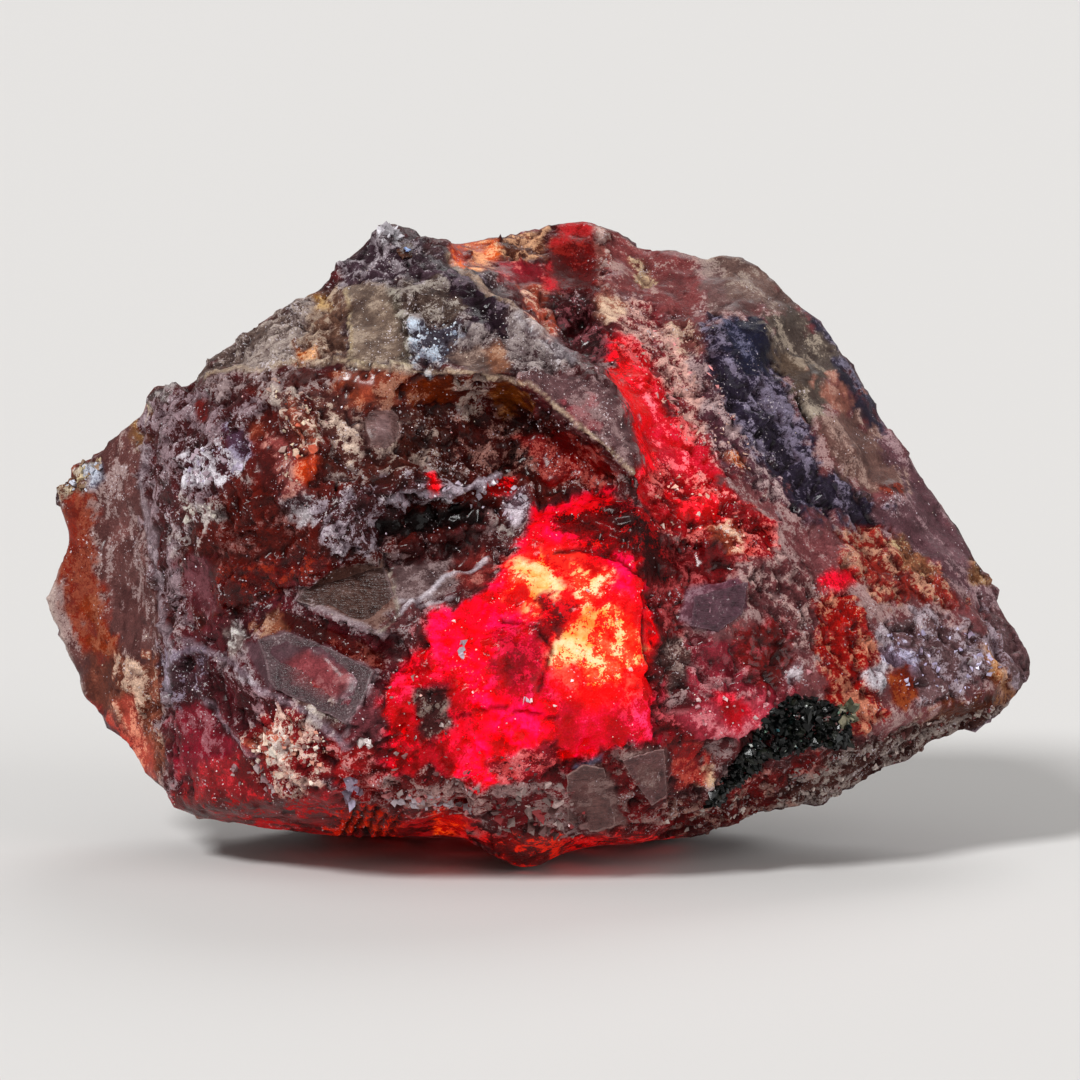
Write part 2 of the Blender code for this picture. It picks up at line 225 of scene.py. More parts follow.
@dataclass
class Honeycomb:
    """Random cells: each point belongs to the nearest of the lattice's jittered centres.

    Attributes:
        centre: the nearest centre, in millimetres.
        near: the distance to it, as a share of the cell size.
        pick: a random number for each cell.
    """

    centre: np.ndarray
    near: np.ndarray
    pick: np.ndarray

    @classmethod
    def around(cls, points_mm: np.ndarray, size_mm: float, seed: int) -> "Honeycomb":
        """Looks through the 27 lattice cells round each point for its nearest centre."""
        scaled = points_mm / size_mm
        base = np.floor(scaled)
        near = np.full(len(scaled), 9.0)
        centre = np.zeros_like(scaled)
        pick = np.zeros(len(scaled))
        for corner in np.ndindex(3, 3, 3):
            cell = base + np.array(corner) - 1.0
            jitter = np.stack([hashed(cell, seed + axis) for axis in range(3)], axis=1)
            place = cell + jitter
            distance = np.linalg.norm(scaled - place, axis=1)
            closer = distance < near
            near = np.where(closer, distance, near)
            centre = np.where(closer[:, None], place, centre)
            pick = np.where(closer, hashed(cell, seed + 7), pick)
        return cls(centre * size_mm, near, pick)

    def tilted(self, points_mm: np.ndarray, slope: float) -> np.ndarray:
        """Small broken planes: in each cell the height rises evenly along its own direction."""
        keys = np.round(self.centre * 50.0)
        tilt = np.stack([hashed(keys, 90 + axis) for axis in range(3)], axis=1) - 0.5
        return slope * np.einsum("ij,ij->i", tilt, points_mm - self.centre)


def side_distance(places: np.ndarray, start: Corner, end: Corner) -> np.ndarray:
    """The distance in pixels from each place to the nearest point of one straight side.

    Args:
        places: rows of across and down.
        start: where the side starts.
        end: where it ends.

    Returns:
        One distance for each place.
    """
    along_x, along_y = end[0] - start[0], end[1] - start[1]
    from_x, from_y = places[:, 0] - start[0], places[:, 1] - start[1]
    share = (from_x * along_x + from_y * along_y) / (along_x**2 + along_y**2)
    share = np.clip(share, 0.0, 1.0)
    return np.hypot(from_x - share * along_x, from_y - share * along_y)


def inside_distance(places: np.ndarray, corners: Corners) -> np.ndarray:
    """How far inside a closed outline each place lies, negative outside.

    The size is the distance to the nearest side, and the sign comes from how often a line
    to the right crosses the sides.

    Args:
        places: rows of across and down.
        corners: the outline's corners in order.

    Returns:
        One signed distance in pixels for each place.
    """
    starts = np.asarray(corners, dtype=float)
    ends = np.roll(starts, -1, axis=0)
    nearest = np.full(len(places), np.inf)
    crossings = np.zeros(len(places), dtype=int)
    x, y = places[:, 0], places[:, 1]
    for (ax, ay), (bx, by) in zip(starts, ends):
        nearest = np.minimum(nearest, side_distance(places, (ax, ay), (bx, by)))
        if ay != by:
            level = (ay > y) != (by > y)
            crossings += level & (x < (bx - ax) * (y - ay) / (by - ay) + ax)
    return np.where(crossings % 2 == 1, nearest, -nearest)


def line_distance(places: np.ndarray, corners: Corners) -> np.ndarray:
    """The distance in pixels from each place to an open run of straight lines."""
    sides = zip(corners, corners[1:])
    return np.min([side_distance(places, start, end) for start, end in sides], axis=0)


class Break(Enum):
    """How the stone is broken in a place: the mm of its lumps, chips, grains and steps."""

    PLATE = (0.02, 0.04, 0.00, 0.00)
    WORN = (0.06, 0.13, 0.01, 0.02)
    BROKEN = (0.13, 0.66, 0.04, 0.08)
    CRUMBLY = (0.14, 0.60, 0.14, 0.03)
    STEPPED = (0.06, 0.34, 0.01, 0.24)

    @property
    def crust_mm(self) -> float:
        """How far crust stands out on it."""
        standing = {"PLATE": 0.01, "WORN": 0.02, "BROKEN": 0.05, "CRUMBLY": 0.08, "STEPPED": 0.0}
        return standing[self.name]


class Grain(Enum):
    """How colour spots are drawn out: the fall to the right in degrees, and length over width."""

    ROUND = (0.0, 1.0)
    LEVEL = (12.0, 2.6)
    FALLING = (38.0, 2.6)
    STEEP = (62.0, 3.0)
    UPRIGHT = (86.0, 3.0)
    RISING = (-35.0, 2.4)


@dataclass(frozen=True)
class Patch:
    """A place of the front with its own colours and break.

    Attributes:
        name: what the place is.
        corners: its outline in the drawing.
        body: the colour of the stone itself, as on a screen; where it glows, the colour of its
            painted glow.
        crust: the colour of what lies on it in spots.
        share: how much of it the crust covers, from 0 to 1.
        spot_mm: the size of the crust's spots.
        grain: how the spots are drawn out.
        dust: how many fine pale specks lie on it, from 0 to 1; the specks are partly frost and
            partly painted glints.
        rough: its roughness, low when glassy.
        clear: how glassy a coat it has.
        glow: how much painted glow it has, from 0 to 1, an emission that stands in for light coming
            through it.
        kind: how it is broken.
        soft_px: how wide its border fades.
        ragged_px: how far its border wanders.
        cover: how much it hides what lies under it.
    """

    name: str
    corners: Corners
    body: Colour
    crust: Colour
    share: float = 0.35
    spot_mm: float = 0.8
    grain: Grain = Grain.ROUND
    dust: float = 0.25
    rough: float = 0.42
    clear: float = 0.15
    glow: float = 0.0
    kind: Break = Break.BROKEN
    soft_px: float = 8.0
    ragged_px: float = 16.0
    cover: float = 1.0

    def laid(self, places: np.ndarray, wander: np.ndarray) -> np.ndarray:
        """How much of each place it covers: the distance inside its outline, made ragged."""
        distance = inside_distance(places, self.corners) + self.ragged_px * wander
        return self.cover * soft_step(distance, -0.5 * self.soft_px, 0.5 * self.soft_px)


@dataclass(frozen=True)
class Stroke:
    """A thin line of the front: a crack when its height is negative, else a seam or an edge.

    Attributes:
        name: what the line is.
        corners: its run in the drawing.
        width_px: how wide it is.
        height_mm: how far it stands out, or how deep it is cut where negative.
        colour: its colour, as on a screen.
        share: how much it hides what lies under it.
        dust: how many fine pale specks lie on it, from 0 to 1; the specks are partly frost and
            partly painted glints.
        glow: how much painted glow it has, from 0 to 1, an emission that stands in for light coming
            through it.
    """

    name: str
    corners: Corners
    width_px: float
    height_mm: float
    colour: Colour
    share: float = 0.9
    dust: float = 0.0
    glow: float = 0.0

    def cover(self, places: np.ndarray) -> np.ndarray:
        """How much of each place it covers: 1 on the line, fading over its half width."""
        distance = line_distance(places, self.corners)
        return 1.0 - soft_step(distance, 0.25 * self.width_px, 0.75 * self.width_px)


def plate(*about: object, **more: object) -> Patch:
    """A flat glassy cleavage face with crisp edges."""
    usual = dict(dust=0.12, rough=0.38, clear=0.12, kind=Break.PLATE, soft_px=4.0, ragged_px=3.0)
    return Patch(*about, **{**usual, **more})


def worn(*about: object, **more: object) -> Patch:
    """A place with little relief."""
    return Patch(*about, **{"kind": Break.WORN, **more})


def crumbs(*about: object, **more: object) -> Patch:
    """A place of pale crumbs."""
    usual = dict(kind=Break.CRUMBLY, spot_mm=0.5, dust=0.5, clear=0.0, rough=0.6)
    return Patch(*about, **{**usual, **more})


def lit(*about: object, **more: object) -> Patch:
    """A place with a painted glow where light comes through, its last plain value being how much.
    """
    usual = dict(dust=0.06, rough=0.3, clear=0.1, kind=Break.WORN, spot_mm=1.0, glow=about[-1])
    return Patch(*about[:-1], **{**usual, **more})


FACE = [
    Patch("burgundy_face", [(142, 470), (150, 400), (190, 384), (262, 372), (330, 366), (470, 380),
        (530, 400), (600, 450), (636, 480), (560, 500), (480, 530), (400, 560), (330, 575),
        (240, 615), (200, 640), (166, 620), (150, 560)], (84, 28, 24), (148, 126, 124), 0.32, 0.9,
        dust=0.35),
    Patch("left_of_face", [(142, 470), (150, 400), (190, 384), (245, 376), (262, 410), (248, 440),
        (225, 480), (205, 540), (180, 560), (195, 630), (166, 620), (150, 560)], (70, 28, 30),
        (146, 122, 128), 0.36, 0.8, dust=0.45),
    plate("high_dark_facet", [(196, 398), (210, 396), (208, 424), (194, 420)], (58, 8, 8),
        (90, 20, 18)),
    worn("red_by_vein", [(254, 436), (274, 440), (282, 470), (288, 498), (264, 498), (250, 462)],
        (66, 14, 12), (110, 50, 46), 0.15),
    worn("orange_by_vein", [(249, 424), (262, 422), (266, 434), (252, 438)], (110, 44, 32),
        (150, 80, 60), ragged_px=4.0),
    Patch("low_red_brown", [(200, 500), (262, 490), (330, 520), (340, 556), (240, 612), (200, 612),
        (182, 560)], (82, 20, 14), (126, 78, 74), 0.12, 0.5),
    worn("maroon_facet", [(178, 556), (216, 552), (222, 612), (188, 618)], (72, 24, 30),
        (104, 58, 64), 0.3, dust=0.12),
    Patch("glitter_red", [(216, 568), (300, 548), (345, 560), (262, 612), (216, 606)], (86, 16, 9),
        (132, 38, 22), 0.22, 0.3, dust=0.3, rough=0.25, clear=0.3),
    crumbs("white_upper_left", [(178, 466), (198, 448), (232, 446), (244, 468), (216, 480),
        (186, 488)], (88, 50, 56), (212, 204, 212), 0.55),
    crumbs("lilac_streak", [(222, 424), (238, 424), (246, 452), (232, 452)], (84, 60, 76),
        (158, 146, 168), 0.42),
    crumbs("white_mid_left", [(182, 500), (214, 501), (222, 516), (204, 525), (184, 521)],
        (100, 62, 60), (192, 178, 174), 0.55),
    crumbs("pale_low_left", [(170, 536), (200, 540), (206, 552), (176, 552)], (80, 44, 42),
        (176, 160, 156), 0.5),
    crumbs("grey_lump_low", [(280, 494), (300, 491), (320, 508), (324, 530), (306, 524),
        (286, 508)], (92, 66, 70), (170, 160, 164), 0.6),
    Patch("grey_crust_high", [(318, 448), (400, 440), (482, 446), (484, 480), (400, 488),
        (330, 492)], (78, 34, 28), (150, 128, 122), 0.38, 0.5, dust=0.45),
    Patch("grey_crust", [(312, 505), (384, 484), (440, 476), (480, 486), (440, 500), (400, 512),
        (384, 550), (330, 556)], (70, 34, 36), (160, 144, 154), 0.46, 0.5, dust=0.5),
    Patch("beside_vein", [(310, 392), (345, 392), (366, 420), (360, 450), (330, 446)], (92, 52, 48),
        (156, 126, 116), 0.4, 0.6),
    crumbs("vein_head", [(270, 380), (292, 374), (302, 392), (294, 410), (276, 406), (264, 392)],
        (108, 76, 72), (190, 172, 162), 0.55),
    crumbs("vein_cream", [(286, 398), (302, 404), (320, 424), (319, 446), (304, 462), (290, 440),
        (282, 420)], (150, 84, 70), (224, 192, 174), 0.55),
    worn("vein_pink", [(274, 436), (290, 440), (302, 462), (298, 498), (286, 496), (278, 470)],
        (122, 60, 58), (174, 118, 108), 0.4, 0.5),
    worn("vein_orange", [(298, 462), (316, 454), (317, 470), (307, 485), (296, 478)], (170, 60, 38),
        (206, 112, 80), 0.3, 0.5, ragged_px=5.0),
    crumbs("cream_lumps", [(312, 400), (330, 406), (352, 430), (362, 452), (348, 462), (334, 442),
        (318, 420)], (98, 62, 56), (204, 178, 162), 0.42),
    Patch("hollow_left", [(380, 404), (440, 402), (470, 425), (450, 462), (400, 462), (376, 450)],
        (70, 32, 26), (148, 126, 116), 0.36, 0.5, dust=0.4),
    # Dark partly as painted shade of the hollow under the crest
    Patch("shaded_face_hollow", [(440, 412), (500, 402), (556, 408), (618, 468), (600, 486), (560, 484),
        (500, 480), (440, 466)], (54, 14, 11), (134, 92, 84), 0.24, 0.5, dust=0.35),
    worn("hollow_red", [(520, 440), (570, 430), (622, 468), (604, 486), (540, 478)], (96, 12, 11),
        (154, 66, 58), 0.2, 0.5),
    plate("grey_bump", [(368, 414), (376, 404), (390, 404), (400, 418), (398, 440), (386, 452),
        (370, 446), (364, 428)], (104, 78, 76), (132, 106, 102), 0.35),
    worn("tan_red_band", [(330, 368), (402, 372), (404, 404), (372, 408), (352, 402), (334, 392)],
        (112, 48, 32), (158, 106, 86), 0.3, clear=0.4),
    plate("bright_band_facet", [(352, 377), (370, 376), (372, 400), (358, 404)], (158, 70, 46),
        (182, 100, 70), glow=0.1),
    worn("rust_band", [(400, 373), (482, 375), (480, 400), (440, 404), (402, 406)], (106, 42, 22),
        (162, 102, 78), 0.28, clear=0.4),
    worn("amber_end", [(486, 384), (522, 380), (534, 404), (500, 412), (484, 404)], (100, 50, 18),
        (154, 98, 56), 0.2, clear=0.4),
    crumbs("specks_by_amber", [(456, 378), (488, 376), (484, 398), (470, 424), (456, 412)],
        (92, 46, 38), (180, 158, 148), 0.4),
    Patch("ledge_shadow", [(384, 522), (430, 504), (505, 508), (482, 528), (420, 540), (380, 546)],
        (12, 3, 3), (52, 22, 22), 0.2, 0.5, dust=0.1),
    lit("red_spark_small", [(426, 476), (438, 475), (439, 492), (429, 494)], (190, 0, 14),
        (255, 30, 50), 0.3, 0.6, ragged_px=4.0, soft_px=4.0),
    lit("red_spark_large", [(483, 483), (500, 477), (517, 481), (512, 498), (492, 498)],
        (160, 0, 10), (236, 16, 30), 0.3, 0.55, ragged_px=6.0, soft_px=4.0),
    crumbs("white_bump", [(503, 497), (522, 490), (531, 506), (526, 522), (508, 526)],
        (112, 90, 98), (208, 194, 204), 0.6, ragged_px=4.0),
    Patch("below_ledge", [(384, 548), (430, 538), (500, 524), (520, 530), (500, 556), (455, 560),
        (400, 568)], (58, 20, 20), (132, 104, 104), 0.3, 0.5, dust=0.4),
    crumbs("grey_by_core", [(500, 524), (530, 528), (528, 556), (510, 566), (500, 546)],
        (84, 50, 50), (150, 136, 132), 0.5),
]

TOP = [
    Patch("top_left_grey", [(190, 380), (225, 342), (290, 303), (318, 288), (345, 280), (352, 362),
        (262, 370), (205, 380)], (100, 84, 78), (168, 152, 144), 0.48, 0.6, Grain.RISING, dust=0.6),
    Patch("tan_left_of_facet", [(312, 296), (345, 284), (352, 362), (318, 362), (300, 340)],
        (118, 88, 74), (172, 148, 130), 0.44, 0.5),
    crumbs("ochre_bump", [(313, 292), (328, 290), (330, 307), (315, 308)], (146, 104, 62),
        (196, 158, 108), ragged_px=4.0),
    Patch("crest_underside", [(205, 380), (262, 372), (330, 366), (330, 380), (262, 388),
        (210, 396)], (78, 44, 42), (152, 130, 130), 0.4, 0.6),
    Patch("top_mauve", [(340, 270), (372, 233), (448, 238), (500, 285), (545, 335), (590, 368),
        (520, 374), (400, 370), (350, 362), (345, 282)], (78, 58, 60), (152, 138, 136), 0.42, 0.6,
        Grain.FALLING, dust=0.4),
    plate("olive_facet", [(347, 286), (388, 281), (406, 300), (412, 330), (411, 366), (352, 360)],
        (102, 86, 76), (140, 122, 108), 0.3, spot_mm=0.7, dust=0.4, clear=0.3),
    crumbs("facet_border", [(388, 281), (404, 296), (414, 330), (413, 366), (404, 366), (402, 330),
        (392, 300)], (90, 82, 72), (166, 158, 146), 0.5, ragged_px=8.0),
    crumbs("blue_frost", [(410, 330), (440, 322), (462, 318), (456, 345), (450, 362), (414, 368)],
        (72, 68, 78), (192, 202, 218), 0.46, spot_mm=0.4),
    worn("grey_facet", [(455, 346), (492, 346), (500, 372), (452, 372)], (96, 78, 72),
        (138, 116, 106), 0.3),
    worn("rust_tip", [(486, 350), (504, 348), (508, 374), (494, 372)], (124, 84, 66),
        (160, 122, 100), ragged_px=5.0),
    crumbs("orange_speck", [(294, 349), (314, 347), (316, 362), (297, 365)], (186, 92, 46),
        (236, 174, 126), 0.5, ragged_px=5.0),
    Patch("purple_hollow", [(385, 262), (450, 260), (508, 300), (505, 338), (470, 320), (452, 298),
        (430, 300), (400, 272)], (38, 24, 34), (104, 88, 98), 0.24, 0.5),
    crumbs("olive_patch", [(396, 276), (440, 270), (456, 300), (462, 318), (430, 322), (404, 308)],
        (80, 66, 60), (154, 142, 134), 0.4),
    Patch("mauve_lump", [(340, 280), (345, 256), (372, 231), (425, 240), (442, 272), (390, 282)],
        (66, 50, 58), (146, 134, 140), 0.42, 0.6, dust=0.4),
    crumbs("pale_spike", [(376, 234), (388, 222), (404, 230), (400, 246), (384, 246)],
        (140, 132, 136), (214, 212, 216), 0.6),
    worn("top_orange", [(448, 236), (468, 238), (468, 268), (452, 262)], (184, 54, 20),
        (222, 104, 56), 0.35, glow=0.12, clear=0.3, ragged_px=5.0),
    worn("top_peach", [(468, 238), (500, 232), (504, 252), (498, 264), (470, 268)], (200, 96, 56),
        (238, 166, 120), 0.5, glow=0.06, ragged_px=6.0),
    Patch("top_brown_spot", [(500, 232), (546, 226), (550, 262), (505, 262)], (112, 66, 50),
        (208, 156, 120), 0.42, 0.6),
    worn("top_crimson", [(498, 260), (540, 262), (548, 286), (520, 294), (500, 280)], (134, 20, 36),
        (196, 96, 92), 0.28, 0.5, glow=0.12, ragged_px=7.0),
    Patch("top_salmon", [(512, 284), (560, 284), (566, 326), (545, 338), (526, 310)], (170, 82, 66),
        (228, 180, 156), 0.5, 0.5),
    plate("red_window", [(547, 240), (560, 236), (592, 234), (600, 258), (603, 300), (580, 290),
        (552, 292), (546, 268)], (80, 8, 8), (118, 20, 14), 0.35, glow=0.03, rough=0.16,
        spot_mm=1.6),
    lit("window_top", [(548, 242), (556, 224), (575, 212), (594, 212), (592, 236), (560, 241)],
        (138, 10, 16), (170, 30, 34), 0.35, 0.08, clear=0.4, ragged_px=4.0),
    lit("window_side", [(543, 262), (552, 262), (556, 292), (545, 290)], (168, 4, 22),
        (196, 30, 42), 0.3, 0.12, ragged_px=3.0),
    Patch("burgundy_notch", [(545, 298), (566, 293), (600, 304), (607, 352), (600, 374), (575, 354),
        (556, 330)], (52, 10, 14), (124, 66, 72), 0.24, 0.5, clear=0.4),
    worn("cream_bump", [(592, 300), (606, 294), (622, 300), (627, 316), (604, 323)], (160, 108, 90),
        (214, 180, 154), 0.5, 0.5, ragged_px=5.0),
    worn("shoulder_facet", [(520, 374), (590, 367), (612, 385), (628, 410), (640, 465), (624, 472),
        (600, 445), (545, 402)], (92, 66, 68), (136, 108, 108), 0.35, 0.5, dust=0.4),
    worn("facet_blush", [(556, 402), (590, 400), (602, 430), (582, 426)], (122, 58, 64),
        (146, 96, 98), 0.35, 0.5),
]

RIGHT = [
    Patch("right_face", [(600, 215), (640, 245), (705, 250), (760, 255), (810, 303), (850, 345),
        (890, 415), (950, 505), (990, 560), (1045, 660), (1005, 715), (880, 740), (700, 720),
        (665, 600), (660, 480), (640, 380), (605, 300)], (114, 66, 68), (160, 128, 126), 0.38, 0.6,
        Grain.FALLING, kind=Break.WORN),
    worn("right_brown_top", [(604, 216), (640, 245), (700, 250), (706, 290), (690, 322), (640, 300),
        (606, 290)], (118, 62, 62), (166, 132, 126), 0.42, 0.6, Grain.STEEP),
    crumbs("pale_edge", [(592, 222), (604, 226), (610, 296), (598, 300)], (140, 84, 78),
        (186, 154, 146), 0.45),
    crumbs("cream_blob", [(628, 256), (646, 258), (656, 284), (642, 286)], (134, 88, 74),
        (200, 168, 136), 0.5, grain=Grain.STEEP, ragged_px=8.0),
    worn("grey_brown_top", [(700, 250), (765, 256), (768, 312), (706, 322)], (102, 76, 74),
        (148, 126, 120), 0.42, 0.6, Grain.STEEP),
    worn("olive_rim", [(712, 252), (748, 254), (780, 277), (812, 312), (770, 314), (726, 290)],
        (108, 86, 80), (152, 134, 124), 0.45, 0.6, Grain.STEEP),
    worn("mauve_slope", [(862, 400), (905, 440), (950, 505), (995, 570), (1015, 620), (960, 600),
        (900, 560), (850, 525), (820, 505), (880, 495)], (98, 68, 74), (154, 124, 128), 0.4, 0.7,
        Grain.FALLING, soft_px=20.0),
    Patch("navy_zone", [(700, 322), (762, 318), (795, 350), (800, 400), (825, 465), (885, 505),
        (870, 530), (835, 522), (780, 502), (722, 440), (700, 380)], (42, 36, 52), (122, 112, 132),
        0.38, 0.4, Grain.STEEP, dust=0.2, soft_px=16.0, ragged_px=30.0),
    worn("navy_deep", [(722, 322), (758, 320), (776, 350), (760, 372), (736, 360)], (24, 26, 44),
        (84, 82, 104), 0.16, 0.5, Grain.STEEP),
    worn("navy_rim", [(798, 296), (840, 335), (888, 430), (872, 440), (845, 400), (815, 345)],
        (46, 42, 56), (110, 104, 122), 0.35, 0.5, Grain.STEEP),
    worn("grey_tan_upper", [(765, 314), (800, 312), (830, 345), (836, 400), (812, 428), (795, 400),
        (775, 350)], (86, 76, 70), (152, 138, 124), 0.45, 0.6, Grain.STEEP),
    worn("olive_streak", [(778, 350), (796, 356), (806, 392), (796, 400)], (84, 70, 60),
        (132, 116, 102), 0.4, 0.5, Grain.STEEP),
    worn("salmon_spot", [(812, 378), (836, 374), (858, 396), (850, 420), (826, 408)], (146, 98, 86),
        (176, 130, 116), 0.4),
    worn("grey_tan_lower", [(815, 420), (862, 410), (885, 455), (905, 490), (870, 495), (835, 470)],
        (108, 80, 74), (160, 130, 120), 0.45, 0.7, Grain.STEEP),
    worn("red_slit", [(872, 482), (906, 486), (905, 497), (880, 494)], (74, 18, 12), (120, 44, 30),
        ragged_px=3.0, soft_px=4.0),
    Patch("pink_speckled", [(606, 300), (640, 300), (690, 330), (705, 400), (760, 480), (690, 470),
        (650, 400), (620, 350)], (126, 50, 54), (206, 158, 148), 0.38, 0.5, Grain.STEEP),
    crumbs("cream_streaks", [(662, 312), (690, 318), (706, 352), (694, 362), (670, 336)],
        (122, 74, 70), (196, 162, 142), 0.42, grain=Grain.STEEP),
    Patch("mauve_fringe", [(690, 350), (712, 380), (745, 440), (790, 500), (772, 506), (726, 462),
        (700, 410)], (88, 54, 62), (176, 148, 148), 0.38, 0.5, Grain.STEEP),
    crumbs("orange_flake", [(724, 452), (742, 456), (752, 468), (736, 468)], (170, 80, 44),
        (226, 150, 110), 0.5, ragged_px=3.0),
    lit("pink_vein_border", [(598, 330), (640, 346), (670, 400), (715, 470), (765, 520), (772, 562),
        (700, 562), (650, 520), (634, 470), (620, 420)], (200, 20, 46), (238, 124, 126), 0.34, 0.52,
        spot_mm=0.5, grain=Grain.STEEP, dust=0.2, kind=Break.BROKEN),
    lit("bright_vein", [(596, 332), (622, 346), (648, 380), (660, 430), (656, 482), (638, 470),
        (626, 420), (610, 380)], (214, 0, 26), (255, 40, 78), 0.4, 0.9, grain=Grain.STEEP),
    lit("vein_blush", [(634, 380), (660, 400), (690, 450), (700, 480), (668, 470), (650, 430)],
        (214, 30, 60), (255, 130, 140), 0.4, 0.55, spot_mm=0.5, grain=Grain.STEEP, dust=0.2),
    lit("red_mottle", [(650, 470), (700, 480), (762, 510), (772, 560), (700, 560), (655, 530)],
        (172, 8, 26), (232, 134, 128), 0.26, 0.42, spot_mm=0.4, dust=0.3, kind=Break.BROKEN),
    lit("red_mottle_bright", [(672, 496), (712, 492), (728, 520), (700, 530), (676, 520)],
        (214, 0, 26), (255, 60, 80), 0.3, 0.7, spot_mm=0.5),
    crumbs("cream_by_mottle", [(704, 528), (732, 520), (744, 550), (722, 562)], (170, 84, 66),
        (224, 176, 150), 0.5, ragged_px=12.0),
    Patch("deep_red", [(644, 530), (700, 545), (740, 556), (722, 600), (680, 600), (694, 650),
        (650, 655)], (112, 4, 12), (160, 66, 68), 0.14, 0.5, clear=0.3, glow=0.2),
    plate("mauve_plate", [(682, 592), (738, 578), (756, 602), (714, 632), (678, 622)], (92, 58, 68),
        (128, 94, 104), 0.35),
    Patch("pink_grey", [(742, 560), (800, 560), (824, 600), (820, 660), (780, 640), (752, 604)],
        (114, 64, 66), (178, 142, 138), 0.42, 0.45),
    Patch("mauve_lower", [(684, 640), (780, 636), (800, 700), (690, 706)], (146, 50, 62),
        (188, 124, 128), 0.26, 0.5, clear=0.3, glow=0.06),
    Patch("dark_red_right", [(728, 622), (784, 620), (796, 672), (768, 690), (738, 668)],
        (104, 6, 16), (150, 60, 66), 0.16, 0.5, clear=0.4, glow=0.08),
    Patch("olive_speckle", [(650, 635), (682, 632), (684, 690), (654, 695)], (74, 46, 44),
        (144, 120, 114), 0.34, 0.4),
    plate("pink_plate", [(665, 712), (700, 698), (762, 698), (776, 712), (738, 740), (690, 742)],
        (172, 54, 72), (204, 112, 122), 0.3, glow=0.2, ragged_px=4.0),
    lit("crimson_on_plate", [(712, 700), (740, 692), (752, 716), (730, 730), (716, 718)],
        (190, 12, 40), (230, 60, 84), 0.35, 0.4),
    crumbs("white_by_druse", [(778, 668), (798, 660), (804, 676), (786, 686)], (150, 116, 120),
        (206, 192, 198), 0.5, ragged_px=6.0),
    Patch("orange_streaked", [(812, 600), (850, 590), (875, 640), (882, 722), (850, 736),
        (828, 690), (816, 650)], (150, 34, 26), (204, 128, 102), 0.38, 0.22, Grain.STEEP,
        glow=0.05),
    Patch("red_tan", [(840, 532), (880, 528), (948, 575), (965, 602), (880, 602), (850, 575)],
        (142, 48, 42), (192, 136, 112), 0.4, 0.22, Grain.STEEP),
    crumbs("cream_fan", [(890, 540), (904, 536), (940, 572), (930, 580), (908, 570)], (140, 92, 70),
        (204, 176, 134), 0.55, grain=Grain.FALLING, ragged_px=8.0),
    lit("crimson_spot", [(820, 578), (832, 568), (856, 572), (858, 584), (838, 592), (820, 590)],
        (196, 0, 40), (240, 26, 66), 0.3, 0.5, ragged_px=5.0),
    Patch("lavender_crust", [(872, 625), (930, 608), (985, 636), (1003, 670), (960, 698),
        (915, 702), (892, 668)], (102, 76, 78), (166, 148, 156), 0.4, 0.5, Grain.STEEP, dust=0.35),
    crumbs("lavender_bright", [(882, 652), (902, 644), (920, 660), (914, 672), (892, 664)],
        (130, 112, 128), (198, 190, 218), 0.5, grain=Grain.FALLING, ragged_px=8.0),
    crumbs("white_by_window", [(862, 670), (884, 664), (894, 676), (884, 692), (866, 688)],
        (140, 112, 116), (206, 196, 204), 0.6, ragged_px=6.0),
    plate("orange_window", [(886, 672), (908, 664), (918, 690), (908, 714), (892, 704)],
        (104, 34, 8), (140, 62, 28), 0.3, glow=0.06),
    Patch("right_tip", [(985, 600), (1022, 636), (1042, 662), (1034, 692), (1000, 692), (985, 650)],
        (112, 84, 86), (166, 146, 156), 0.42, 0.5, Grain.STEEP),
    crumbs("tan_streak", [(980, 648), (992, 650), (1012, 692), (1000, 694)], (160, 92, 60),
        (216, 158, 112), 0.5, ragged_px=6.0),
    crumbs("tan_rim_spot", [(970, 560), (986, 566), (990, 584), (972, 580)], (140, 98, 72),
        (188, 148, 112), 0.5, ragged_px=6.0),
    worn("brown_band", [(915, 724), (955, 702), (1000, 690), (1030, 690), (1012, 710), (940, 730)],
        (80, 33, 14), (134, 88, 62), 0.3, 0.5),
    crumbs("specked_band", [(770, 786), (800, 766), (850, 748), (930, 720), (1012, 704), (990, 730),
        (940, 752), (900, 776), (860, 796), (800, 812), (760, 816)], (78, 50, 46), (152, 136, 130),
        0.42, spot_mm=0.4),
    Patch("red_under_druse", [(720, 790), (790, 758), (822, 752), (820, 770), (775, 790),
        (760, 800), (720, 815)], (120, 12, 20), (190, 120, 112), 0.3, 0.4),
    Patch("dark_red_foot", [(640, 835), (655, 806), (720, 794), (780, 786), (790, 804), (740, 822),
        (660, 850)], (88, 16, 16), (160, 118, 108), 0.36, 0.4, dust=0.35),
    crumbs("cream_by_gap", [(690, 768), (710, 764), (716, 780), (698, 788)], (150, 96, 80),
        (206, 170, 138), 0.5, ragged_px=6.0),
]
